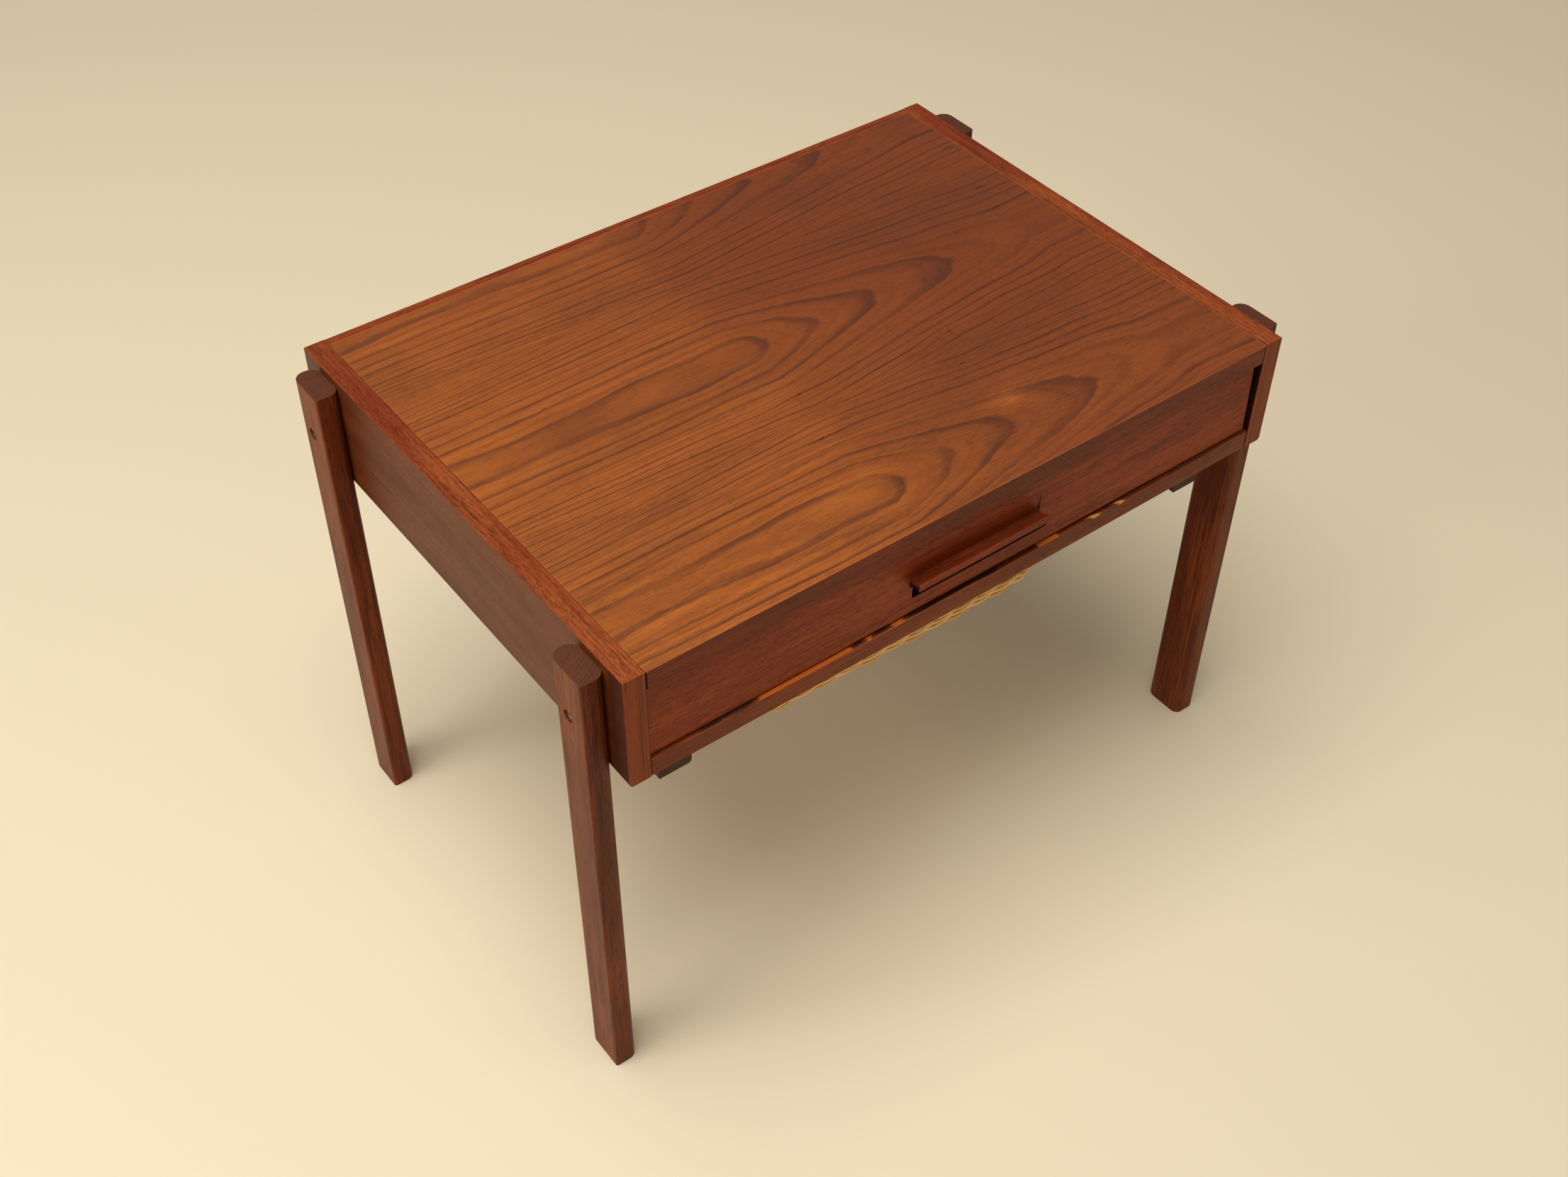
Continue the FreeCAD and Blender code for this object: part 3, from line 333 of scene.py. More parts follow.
def bump_round(g, along, across, spot):
    """Bell-shaped bump of height 1; the spot gives its place and its reach along and across."""
    a = g.calc("DIVIDE", g.calc("SUBTRACT", along, spot[0]), spot[2])
    b = g.calc("DIVIDE", g.calc("SUBTRACT", across, spot[1]), spot[3])
    square = g.calc("ADD", g.product(a, a), g.product(b, b))
    return g.calc("EXPONENT", g.calc("MULTIPLY", square, -1.0))


def flame_rings(g, along, across, leaf):
    """Rings of a flat-cut leaf: arches whose tips point along +X, dense lines at its joints."""
    place = g.join(along, across, g.calc("MULTIPLY", leaf, 3.0))
    behind = g.calc("DIVIDE", g.calc("SUBTRACT", OUTER_TIP, along), ARCH_REACH)
    behind = g.calc("MINIMUM", g.calc("MAXIMUM", behind, ARCH_LIMITS[0]), ARCH_LIMITS[1])
    fall = g.product(g.calc("SIGN", behind), g.calc("POWER", g.calc("ABSOLUTE", behind), ARCH_POWER))
    depth = g.calc("MULTIPLY_ADD", fall, -ARCH_DEPTH, OUTER_ARCH)
    depth = g.calc("MULTIPLY_ADD", bump_round(g, along, across, HOLLOW), -HOLLOW_DEPTH, depth)
    side = g.calc("SUBTRACT", across, FLAME_CENTRE)
    distance = g.calc("SQRT", g.calc("ADD", g.product(side, side), g.product(depth, depth)))
    for amount, size, detail in RING_WAVES:
        wave = g.calc("SUBTRACT", g.noise(place, size, detail=detail), 0.5)
        distance = g.calc("MULTIPLY_ADD", wave, amount, distance)
    outward = g.calc("POWER", g.calc("DIVIDE", g.calc("ABSOLUTE", side), LEAF_WIDTH / 2), 4.0)
    left = g.calc("MAXIMUM", g.calc("SUBTRACT", PINCH, along), 0.0)
    distance = g.calc("MULTIPLY_ADD", g.product(outward, left), PINCH_RATE, distance)
    for knot in KNOTS[:2]:
        bulge = bump_round(g, along, across, knot[:2] + KNOT_SWIRL)
        distance = g.calc("MULTIPLY_ADD", bulge, KNOT_BULGE, distance)
    beyond = g.calc("MAXIMUM", g.calc("SUBTRACT", distance, OUTER_ARCH), 0.0)
    rings = g.calc("DIVIDE", g.calc("SUBTRACT", distance, OUTER_ARCH), RING_SPACING)
    crowding = g.product(beyond, beyond, RING_CROWDING)
    return g.calc("ADD", rings, crowding), place


def top_veneer_material():
    """Flame veneer: dark ring lines over a ground that is more golden at its left end."""
    g = Graph("teak_flame_veneer")
    board_place = g.grain_place("X")
    x, y = g.split(board_place)[:2]
    along, across, leaf = veneer_leaf(g, board_place)
    rings, place = flame_rings(g, along, across, leaf)
    shade = g.calc("POWER", ring_shade(g, rings, 12.0), 1.5)
    half_rings = ring_shade(g, g.calc("MULTIPLY_ADD", rings, 2.0, 0.37), 3.0)
    ring_place = g.join(g.calc("DIVIDE", along, 120.0), g.calc("MULTIPLY", rings, 3.0), leaf)
    lines = g.add("ShaderNodeTexNoise", {"Vector": ring_place, "Scale": 1.0, "Detail": 3.0})
    fading = g.noise(place, (110.0, 14.0, 14.0), detail=2.0)
    mottle = g.noise(place, (26.0, 7.0, 7.0), detail=3.0)
    broad = g.noise(board_place, (150.0, 60.0, 60.0), detail=2.0)
    fibres = g.noise(place, (30.0, 0.5, 0.5), detail=3.0, roughness=0.6)
    holes = pores(g, place, length=9.0, width=0.4, amount=0.60)
    largest = g.product(g.span(rings, -0.20, -0.01), g.span(rings, 0.04, 0.0),
                        g.span(along, OUTER_TIP - 110.0, OUTER_TIP - 30.0))
    # the ground is more golden towards the front-left and browner towards the right and back
    brown_share = g.calc("MULTIPLY_ADD", g.span(x, -290.0, 200.0), 0.6,
                   g.span(x, GOLDEN_STEP - 20.0, GOLDEN_STEP + 14.0, 0.0, 0.22))
    brown_share = g.calc("MULTIPLY_ADD", g.span(y, -190.0, 150.0), 0.30, brown_share)
    colour = g.mix(brown_share, TOP_LIGHT, TOP_MID)
    colour = g.mix(g.span(lines, 0.35, 0.70, 0.0, 0.5), colour, TOP_MID)
    colour = g.mix(g.span(broad, 0.42, 0.66, 0.0, 0.22), colour, TOP_DARK)
    colour = g.mix(g.span(mottle, 0.42, 0.68, 0.0, 0.12), colour, TOP_DARK)
    glow = bump_round(g, x, y, GLOW)
    colour = g.mix(g.calc("MULTIPLY", glow, 0.7), colour, TOP_LIGHT)
    colour = g.mix(g.product(shade, g.span(fading, 0.34, 0.58, 0.55, 1.0)), colour, TOP_DARK)
    colour = g.mix(g.calc("MULTIPLY", largest, 0.7), colour, TOP_DARK)
    colour = g.mix(g.calc("MULTIPLY", half_rings, 0.30), colour, TOP_DARK)
    colour = g.mix(g.span(fibres, 0.42, 0.75, 0.0, 0.25), colour, TOP_DARK)
    colour = g.mix(g.calc("MULTIPLY", holes, 0.4), colour, PORE)
    for knot in KNOTS:
        heart = bump_round(g, along, across, knot)
        colour = g.mix(g.span(heart, 0.35, 0.8, 0.0, 0.75), colour, PORE)
    # lighter line along the edges: edge wear, and a painted edge highlight
    rubbed = g.opposite(g.span(g.edge_distance("top_veneer"), 0.1, 0.9))
    colour = g.mix(g.calc("MULTIPLY", rubbed, 0.3), colour, BARE_WOOD)
    gloss = g.calc("MULTIPLY_ADD", g.noise(board_place, (60.0, 22.0, 22.0)), 0.14, 0.36)
    height = g.calc("SUBTRACT", g.calc("MULTIPLY", fibres, 0.5), holes)
    return g.finish(colour, gloss, height, 0.08, sheen=0.28)


# ---- worn rail and drawer front ----
RAIL_SAG = 1.7                  # the rail's middle lies this much lower than its ends
BARE_PATCHES = ((-196.0, -111.0), (-102.0, -93.0), (-79.0, -64.0), (59.0, 84.0))   # x from, to
# rubbed dark patches; the one from -65 to 24 is the handle's painted shadow on the ledge
RUBBED_AND_SHADED_PATCHES = ((-245.0, -196.0), (-113.0, -101.0), (-93.0, -78.0), (-65.0, 24.0), (126.0, 138.0))
CHIPS = ((113.0, 126.0), (140.0, 151.0))
CHIP_SLANT = 3.0                # how far along a chip leans for each mm of depth
PATCH_BLUR = 1.5                # half the length over which a patch fades out


def along_patches(g, x, patches, ragged):
    """1 inside the patches, with ragged ends."""
    total = 0.0
    for start, end in patches:
        middle = (start + end) / 2
        away = g.calc("ABSOLUTE", g.calc("SUBTRACT", x, middle))
        away = g.calc("ADD", away, ragged)
        reach = (end - start) / 2
        total = g.calc("MAXIMUM", total, g.span(away, reach + PATCH_BLUR, reach - PATCH_BLUR))
    return total


def front_rail_material():
    """Rail with a worn upper edge: bare patches, rubbed dark ones, the handle's painted shadow on the
    ledge, painted shade on the ledge under the drawer front, and two chips.
    """
    g, colour, gloss, height = wood("teak_front_rail", "front_rail", "X", RAIL_TONES, (-150.0, 300.0),
                                    seed=5.0, ring_depth=0.4, streak_depth=0.5, wear=0.2)
    place = g.grain_place("X")
    x, y, z = g.split(place)
    low, high = box_in_mm("front_rail")
    off_middle = g.calc("DIVIDE", x, high.x)
    sunk_top = g.calc("MULTIPLY_ADD", g.product(off_middle, off_middle), RAIL_SAG, high.z - RAIL_SAG)
    above = g.calc("SUBTRACT", z, sunk_top)
    behind = g.calc("SUBTRACT", y, low.y)
    upper = g.span(above, -0.9, -0.3)
    ragged = g.calc("MULTIPLY", g.noise(place, (7.0, 1.0, 1.0), detail=2.0), 5.0)
    # painted shade on the ledge under the drawer front, deeper towards the right
    colour = g.mix(g.product(upper, g.span(x, 60.0, 160.0, 0.45, 0.85)), colour, FRONT_DARK)
    bare = g.product(along_patches(g, x, BARE_PATCHES, ragged), upper)
    # rubbed finish, and the handle's painted shadow in the patch under it
    rubbed = g.product(along_patches(g, x, RUBBED_AND_SHADED_PATCHES, ragged), upper)
    colour = g.mix(g.calc("MULTIPLY", bare, 0.9), colour, BARE_WOOD)
    colour = g.mix(g.calc("MULTIPLY", rubbed, 0.9), colour, RUBBED_FINISH_AND_SHADE)
    worn = g.span(g.noise(place, (40.0, 3.0, 3.0), detail=2.0), 0.44, 0.58)
    bright_edge = g.product(g.span(above, -1.6, -0.7), g.span(behind, 1.1, 0.4),
                            g.span(x, 150.0, 100.0, 0.12, 0.45), worn)
    colour = g.mix(bright_edge, colour, BARE_WOOD)
    torn = g.calc("MULTIPLY", g.noise(place, (5.0, 2.0, 2.0), detail=2.0), 3.0)
    low_edge = g.span(g.calc("ADD", above, torn), -0.9, -0.2)
    slanted = g.calc("MULTIPLY_ADD", behind, CHIP_SLANT, x)
    shallow = g.span(g.calc("ADD", behind, torn), 3.9, 2.9)
    chips = g.product(along_patches(g, slanted, CHIPS, ragged), low_edge, shallow)
    colour = g.mix(chips, colour, CHIPPED_WOOD)
    return g.finish(colour, gloss, height, 0.1)


def drawer_front_material():
    """Front board, with painted shade, darker and redder, in the hollow above the handle, and painted
    black shade in the finger slot.
    """
    g, colour, gloss, height = wood("teak_drawer_front", "drawer_front", "X", FRONT_TONES,
                                    (-420.0, 560.0), seed=3.0, spacing=4.2, wander=14.0,
                                    ring_depth=0.35, streak_depth=0.5, wear=0.15)
    x, y, z = g.split(g.grain_place("X"))
    low, high = box_in_mm("drawer_handle")
    face = box_in_mm("drawer_front")[0].y
    # painted shade, darker and redder, in the hollow above the handle and a little to its left
    hollow = g.product(g.span(x, low.x - 16.0, low.x + 4.0), g.span(x, high.x - 2.0, high.x - 7.0),
                       g.span(z, high.z + 16.0, high.z - 6.0), g.span(z, low.z - 2.0, low.z))
    colour = g.mix(g.calc("MULTIPLY", hollow, 0.45), colour, COVE_SHADE_RED)
    # painted shade: the finger slot under the lip is painted black
    slot = g.product(g.span(y, face + 0.3, face + 1.2), g.span(z, low.z + 1.0, low.z),
                     g.span(g.calc("ABSOLUTE", x), high.x + 30.0, high.x + 20.0))
    colour = g.mix(slot, colour, PORE)
    return g.finish(colour, gloss, height, 0.1)


# ---- metal, cane and floor ----
def metal(name, colour, roughness):
    """Bare metal with scratches and darker stains."""
    g = Graph(name)
    place = g.grain_place("X")
    scratches = g.noise(place, (0.6, 3.0, 0.25), detail=3.0)
    stains = g.noise(place, (2.0, 2.0, 2.0), detail=3.0)
    darker = tuple(part * 0.45 for part in colour[:3]) + (1.0,)
    shade = g.mix(g.span(stains, 0.45, 0.75, 0.0, 0.8), colour, darker)
    g.shader.inputs["Metallic"].default_value = 1.0
    gloss = g.calc("MULTIPLY_ADD", scratches, 0.25, roughness - 0.1)
    return g.finish(shade, gloss, scratches, 0.02, sheen=0.5)


def rattan_material():
    """Split cane; each strand has a tone of its own, and its far sides in the weave get painted shade."""
    g = Graph("rattan_cane")
    along = g.tree.nodes.new("ShaderNodeUVMap")
    along.uv_map = "strand"
    u, v = g.split(along.outputs[0])[:2]
    tone = g.add("ShaderNodeAttribute", {}, output=2, attribute_name="tone")
    fibre_place = g.join(g.calc("MULTIPLY", u, 60.0), g.calc("MULTIPLY", v, 14.0),
                         g.calc("MULTIPLY", tone, 37.0))
    fibres = g.add("ShaderNodeTexNoise", {"Vector": fibre_place, "Scale": 1.0, "Detail": 3.0})
    patch_place = g.join(g.calc("MULTIPLY", u, 22.0), v, g.calc("MULTIPLY", tone, 91.0))
    patches = g.add("ShaderNodeTexNoise", {"Vector": patch_place, "Scale": 1.0, "Detail": 2.0})
    colour = g.mix(g.span(patches, 0.35, 0.65), RATTAN_MID, RATTAN_LIGHT)
    colour = g.mix(g.span(tone, 0.55, 1.0, 0.0, 0.5), colour, RATTAN_DARK)
    colour = g.mix(g.span(fibres, 0.5, 0.8, 0.0, 0.55), colour, RATTAN_DARK)
    depth = g.add("ShaderNodeAttribute", {}, output=2, attribute_name="depth")
    # painted shade on the sides of canes that lie behind others in the weave
    colour = g.mix(g.span(depth, 0.60, 0.92, 0.0, 0.8), colour, RATTAN_SHADE)
    gloss = g.calc("MULTIPLY_ADD", patches, 0.2, 0.32)
    return g.finish(colour, gloss, fibres, 0.12, sheen=0.3)


def floor_material():
    g = Graph("pale_floor")
    g.shader.inputs["Base Color"].default_value = FLOOR_COLOUR
    g.shader.inputs["Roughness"].default_value = 0.6
    return g.material


# ---- which material each node has ----
SEAM_OFFSET = 0.17              # glue line of the front edge, off its middle, as a share of its width


def side_panel_material(node, seed):
    """Olive-brown outer face, reddish solid edges; painted shadow in front of the legs, and painted shade
    inside next to the drawer front.
    """
    g, colour, gloss, height = wood("teak_" + node, node, "Y", STRIP_TONES, (-900.0, 380.0), seed=seed,
                                    spacing=3.6, ring_depth=0.3, streak_depth=0.5, wear=0.25,
                                    end_share=0.0)
    place = g.grain_place("Y", (seed * 57.0, 0.0, 0.0))
    speckle = g.noise(place, (5.0, 1.0, 1.0), detail=2.0)
    colour = g.mix(g.span(speckle, 0.50, 0.66, 0.0, 0.4), colour, STRIP_DARK)
    broad = g.noise(place, (150.0, 40.0, 26.0), detail=3.0)
    streaks = g.noise(place, (90.0, 2.4, 3.0), detail=3.0, roughness=0.6)
    face = g.mix(g.span(broad, 0.38, 0.62), SIDE_MID, SIDE_LIGHT)
    face = g.mix(g.span(streaks, 0.46, 0.70, 0.0, 0.6), face, SIDE_DARK)
    x, y = g.split(g.grain_place("X"))[:2]
    leg_front = box_in_mm(node.replace("side_panel", "leg_front"))[0].y
    # painted shadow of the leg on the strip of outer face in front of it
    face = g.mix(g.span(y, leg_front + 1.0, leg_front - 6.0, 0.0, 0.7), face, LEG_SHADOW_SIDE)
    outside = g.product(g.facing("X"), g.span(g.edge_distance(node), 0.2, 0.9))
    colour = g.mix(outside, colour, face)
    upright = g.grain_place("Z", (seed * 83.0, 0.0, 0.0))
    lines = g.noise(upright, (60.0, 1.6, 1.6), detail=3.0, roughness=0.65)
    front = g.mix(g.span(lines, 0.44, 0.68, 0.0, 0.7), RAIL_LIGHT, FRONT_DARK)
    low, high = box_in_mm(node)
    seam_place = (low.x + high.x) / 2
    seam_place += math.copysign((high.x - low.x) * SEAM_OFFSET, -seam_place)
    seam = g.span(g.calc("ABSOLUTE", g.calc("SUBTRACT", x, seam_place)), 0.9, 0.1)
    front = g.mix(g.calc("MULTIPLY", seam, 0.6), front, FRONT_DARK)
    colour = g.mix(g.facing("Y"), colour, front)
    # painted shade on the inner face next to the drawer front, where the gap lies in shadow
    inner = min(abs(low.x), abs(high.x))
    painted_gap_shade = g.product(g.span(g.calc("ABSOLUTE", x), inner + 0.5, inner + 0.1),
                       g.span(y, low.y + 12.0, low.y + 6.0))
    colour = g.mix(g.calc("MULTIPLY", painted_gap_shade, 0.92), colour, PORE)
    return g.finish(colour, gloss, height, 0.1)


def leg_material(node, seed):
    side = math.copysign(1.0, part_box(node)[0].x)
    return board("teak_" + node, node, "Z", LEG_TONES, (side * 380.0, -60.0 * seed), seed=seed,
                 spacing=2.6, ring_depth=0.5, streak_depth=0.8, wear=0.2)


def assign(material, *nodes):
    for node in nodes:
        slots = NODES[node].data.materials
        slots.clear()
        slots.append(material)


def dress_case():
    assign(top_veneer_material(), "top_veneer")
    assign(front_rail_material(), "front_rail")
    for seed, node in enumerate(("side_panel_left", "side_panel_right")):
        assign(side_panel_material(node, seed + 2.0), node)
    for seed, node in enumerate(("leg_front_left", "leg_front_right", "leg_rear_left", "leg_rear_right")):
        assign(leg_material(node, seed + 1.0), node)
    assign(board("teak_front_lipping", "top_front_lipping", "X", LIPPING_TONES, (-240.0, 500.0), seed=9.0,
                 ring_depth=0.35, streak_depth=0.5, wear=0.2), "top_front_lipping")
    assign(board("teak_back_lipping", "top_back_lipping", "X", STRIP_TONES, (240.0, 600.0), seed=10.0,
                 ring_depth=0.3), "top_back_lipping")
    assign(board("teak_top_core", "top_panel", "X", STRIP_TONES, (0.0, 300.0), seed=11.0), "top_panel")
    assign(board("teak_back_panel", "back_panel", "X", STRIP_TONES, (300.0, 200.0), seed=12.0),
           "back_panel")
    for seed, node in enumerate(("back_rail", "drawer_runner_right", "drawer_runner_left", "drawer_stops",
                                 "leg_dowels", "top_dowels", "rail_dowels", "back_panel_dowels")):
        axis = "Y" if "runner" in node else "X"
        assign(board("beech_" + node, node, axis, BEECH_TONES, (-80.0, 240.0), seed=seed + 20.0,
                     ring_depth=0.25, roughness=0.55, end_tone=BEECH_DARK), node)
    for seed, node in enumerate(("basket_runner_right", "basket_runner_left")):
        assign(board("dark_" + node, node, "Y", DARK_TONES, (120.0, 260.0), seed=seed + 30.0,
                     roughness=0.5), node)


def dress_drawer():
    assign(drawer_front_material(), "drawer_front")
    # the handle's end faces: dark end grain, darkened further by painted shade
    assign(board("teak_handle", "drawer_handle", "X", HANDLE_TONES,
                 (-260.0, 420.0), seed=4.0, ring_depth=0.3, streak_depth=0.4, wear=0.5, end_tone=PORE,
                 end_share=1.0), "drawer_handle")
    inner = {"drawer_side_left": "Y", "drawer_side_right": "Y", "drawer_back": "X",
             "drawer_long_divider": "X", "drawer_bottom": "Y"}
    inner.update({"drawer_cross_divider_%d" % (i + 1): "Y" for i in range(3)})
    for seed, (node, axis) in enumerate(inner.items()):
        assign(board("beech_" + node, node, axis, BEECH_TONES, (-140.0, 250.0), seed=seed + 40.0,
                     ring_depth=0.25, roughness=0.55, end_tone=BEECH_DARK), node)


def dress_basket_frame():
    for seed, node in enumerate(("basket_frame_right", "basket_frame_left", "basket_frame_front",
                                 "basket_frame_back")):
        axis = "Y" if node.endswith(("right", "left")) else "X"
        assign(board("dark_" + node, node, axis, DARK_TONES, (160.0, 240.0), seed=seed + 50.0), node)
    assign(board("beech_frame_dowels", "basket_frame_dowels", "X", BEECH_TONES, (60.0, 200.0), seed=60.0,
                 ring_depth=0.25), "basket_frame_dowels")


def dress_metal():
    assign(metal("tarnished_steel", STEEL, 0.34), "leg_bolts", "drawer_runner_screws",
           "basket_runner_screws", "drawer_bottom_nails")
    assign(metal("turned_brass", BRASS, 0.3), "leg_inserts")


# ---- woven basket ----
STAKES = 48
SAMPLES_PER_GAP = 6             # path points from one stake to the next
TUBE_SIDES = 8
CANE_HALF_HEIGHT = 0.00172
CANE_HALF_THICKNESS = 0.0010
STAKE_RADIUS = 0.0010
WEAVE_SWING = 0.0016            # how far a weaver passes outside or inside the stakes' line
LEAST_SWING = 0.9               # swing of the tightest row, as a share of that
WALL_MIDDLE = WEAVE_SWING + CANE_HALF_THICKNESS   # from the wall's outer face to the stakes' line
ROW_PITCH = 0.00375
FIRST_ROW_RISE = 0.0016
ROW_JITTER = 0.0002
CANE_JITTER = 0.00008
RIM_CLEARANCE = 0.006           # top of the wall that the border covers
STAKE_STEPS = 12
STAKE_RISE = 0.004              # of a stake's lowest point on the wall
STAKE_FOOT = (0.024, 0.012, 0.005)   # how far under the base a stake's foot reaches
STAKE_FOOT_RISE = 0.0022
BOTTOM_LENGTH = 0.288
BOTTOM_WIDTH = 0.264
BOTTOM_CORNER = 0.024
TOP_CORNER = 0.042
COLLAR = 0.0194                 # upright top part of the wall
LEAN = 0.014                    # how much the bottom rises to the left for each bottom length
LEVEL_FROM = 0.15               # right of here the bottom is level, as a share of its length
BASE_STICKS = 12
BASE_RISE = 0.0042              # middle of the base's weave over the CAD node's underside
BASE_SWING = WEAVE_SWING * 0.9
BASE_MARGIN = 0.005             # from the ends of the base's canes to the wall's outer face
BASE_FREE_WIDTH = 0.012         # width of the base without canes, front and back together
BORDER_STRANDS = 3
BORDER_SAMPLES = STAKES * 8
BORDER_CANE_SHARE = 0.52        # radius of a border cane, as a share of the whole border's
BORDER_TIGHTNESS = 0.98


class Strands:
    """Collects cane tubes into one mesh."""

    def __init__(self, name):
        self.name = name
        self.points = []
        self.faces = []
        self.uvs = []
        self.tones = []
        self.depths = []

    def add(self, centres, outs, ups, half_out, half_up, closed, tone, depths=None):
        """One cane along the centres; outs and ups are the directions of its section.

        The depths, from 0 to 1, say how far inside the wall's other canes each centre passes.
        The mesh keeps, for each side of the cane, how far it lies behind them in "depth", which the cane
        material turns into painted shade."""
        start = len(self.points)
        count = len(centres)
        lengths = [0.0]
        for i in range(1, count + 1):
            lengths.append(lengths[-1] + (centres[i % count] - centres[i - 1]).length)
        for centre, out, up, depth in zip(centres, outs, ups, depths or [None] * count):
            for k in range(TUBE_SIDES):
                turn = 2 * math.pi * k / TUBE_SIDES
                across = math.cos(turn)
                self.points.append(centre + out * (half_out * across) + up * (half_up * math.sin(turn)))
                self.tones.append(tone)
                if depth is None:
                    self.depths.append(0.0)
                else:
                    self.depths.append(across * depth if across > 0 else across * (depth - 1.0))
        for i in range(count if closed else count - 1):
            for k in range(TUBE_SIDES):
                k_next = (k + 1) % TUBE_SIDES
                near = start + i * TUBE_SIDES
                far = start + (i + 1) % count * TUBE_SIDES
                self.faces.append((near + k, far + k, far + k_next, near + k_next))
                u_near, u_far = lengths[i], lengths[i + 1]
                v_low, v_high = k / TUBE_SIDES, (k + 1) / TUBE_SIDES
                self.uvs += [(u_near, v_low), (u_far, v_low), (u_far, v_high), (u_near, v_high)]
        if not closed:
            first = list(range(start, start + TUBE_SIDES))
            last = list(range(start + (count - 1) * TUBE_SIDES, start + count * TUBE_SIDES))
            self.faces.append(tuple(first))
            self.faces.append(tuple(reversed(last)))
            self.uvs += [(0.0, k / TUBE_SIDES) for k in range(2 * TUBE_SIDES)]

    def build(self, material):
        mesh = bpy.data.meshes.new(self.name)
        mesh.from_pydata([tuple(p) for p in self.points], [], self.faces)
        layer = mesh.uv_layers.new(name="strand")
        layer.data.foreach_set("uv", [part for uv in self.uvs for part in uv])
        for name, values in (("tone", self.tones), ("depth", self.depths)):
            mesh.attributes.new(name, "FLOAT", "POINT").data.foreach_set("value", values)
        mesh.polygons.foreach_set("use_smooth", [True] * len(mesh.polygons))
        mesh.materials.append(material)
        made = bpy.data.objects.new(self.name, mesh)
        bpy.context.scene.collection.objects.link(made)
        return made


def round_the_outline(length, width, corner, share):
    """Point and outward direction at a share of the way round a rounded rectangle."""
    runs = [length - 2 * corner, width - 2 * corner] * 2
    arc = math.pi * corner / 2
    left = (share % 1.0) * (sum(runs) + 4 * arc)
    centres = [Vector((x * (length / 2 - corner), y * (width / 2 - corner), 0.0))
               for x, y in ((-1, -1), (1, -1), (1, 1), (-1, 1))]
    for i, run in enumerate(runs):
        along = Vector(((1, 0, 0), (0, 1, 0), (-1, 0, 0), (0, -1, 0))[i])
        out = Vector((along.y, -along.x, 0.0))
        if left <= run:
            return centres[i] + along * left + out * corner, out
        left -= run
        if left <= arc:
            turned = out * math.cos(left / corner) + along * math.sin(left / corner)
            return centres[(i + 1) % 4] + turned * corner, turned
        left -= arc
    return round_the_outline(length, width, corner, 0.0)


class BasketShape:
    """The basket's wall as in the CAD node, tapered with an upright collar, but leaning."""

    def __init__(self):
        low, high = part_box("basket_wicker")
        self.bottom = low.z
        self.top = high.z
        self.shoulder = high.z - COLLAR
        self.centre_y = (low.y + high.y) / 2
        self.top_length = high.x - low.x
        self.top_width = high.y - low.y
        self.slope = math.hypot((self.top_width - BOTTOM_WIDTH) / 2, self.shoulder - self.bottom)
        self.woven_rise = self.slope + COLLAR - RIM_CLEARANCE

    def lift(self, x):
        """How far the bottom lies above the CAD node's underside."""
        return LEAN * max(LEVEL_FROM - x / BOTTOM_LENGTH, 0.0)

    def at(self, rise, share, inset):
        """Point of the wall at a rise along its slope, set in from the outer face."""
        part = min(rise / self.slope, 1.0)
        length = BOTTOM_LENGTH + (self.top_length - BOTTOM_LENGTH) * part
        width = BOTTOM_WIDTH + (self.top_width - BOTTOM_WIDTH) * part
        corner = BOTTOM_CORNER + (TOP_CORNER - BOTTOM_CORNER) * part
        height = self.bottom + (self.shoulder - self.bottom) * part + max(rise - self.slope, 0.0)
        point, out = round_the_outline(length, width, corner, share)
        height += self.lift(point.x) * (1.0 - part)
        return point - out * inset + Vector((0.0, self.centre_y, height)), out


def weave_wall(shape, material, chance):
    """Rows of cane, each passing outside one stake and inside the next."""
    strands = Strands("basket_weave")
    rows = int(shape.woven_rise / ROW_PITCH)
    up = Vector((0.0, 0.0, 1.0))
    for row in range(rows):
        rise = FIRST_ROW_RISE + row * ROW_PITCH
        centres, outs, ups, depths = [], [], [], []
        swing = WEAVE_SWING * chance.uniform(LEAST_SWING, 1.0)
        lift = chance.uniform(-ROW_JITTER, ROW_JITTER)
        for i in range(STAKES * SAMPLES_PER_GAP):
            share = i / (STAKES * SAMPLES_PER_GAP)
            wave = math.cos(math.pi * (share * STAKES + row))
            point, out = shape.at(rise, share, WALL_MIDDLE - swing * wave)
            centres.append(point + up * (lift + chance.uniform(-CANE_JITTER, CANE_JITTER)))
            outs.append(out)
            ups.append(up)
            # how far inside the stakes the cane passes here, for the painted shade
            depths.append((1.0 - wave) / 2)
        strands.add(centres, outs, ups, CANE_HALF_THICKNESS, CANE_HALF_HEIGHT, True,
                    chance.random(), depths)
    return strands.build(material)


def stand_stakes(shape, material, chance):
    """Upright stakes; each turns in under the base."""
    strands = Strands("basket_stakes")
    for stake in range(STAKES):
        share = stake / STAKES
        centres, outs = [], []
        foot, out = shape.at(0.0, share, WALL_MIDDLE)
        for reach in STAKE_FOOT:
            centres.append(foot - out * reach + Vector((0.0, 0.0, STAKE_FOOT_RISE)))
            outs.append(Vector((0.0, 0.0, -1.0)))
        for step in range(STAKE_STEPS + 1):
            rise = STAKE_RISE + shape.woven_rise * step / STAKE_STEPS
            point, out = shape.at(rise, share, WALL_MIDDLE)
            centres.append(point)
            outs.append(out)
        side = Vector((-out.y, out.x, 0.0))
        ups = [side] * len(centres)
        strands.add(centres, outs, ups, STAKE_RADIUS, STAKE_RADIUS, False, chance.random())
    return strands.build(material)


def half_span(offset, across, along):
    """Half the base's length at an offset from its middle, inside the rounded corners."""
    over = abs(offset) - (across / 2 - BOTTOM_CORNER)
    if over <= 0:
        return along / 2
    return along / 2 - BOTTOM_CORNER + math.sqrt(max(BOTTOM_CORNER ** 2 - over ** 2, 0.0))


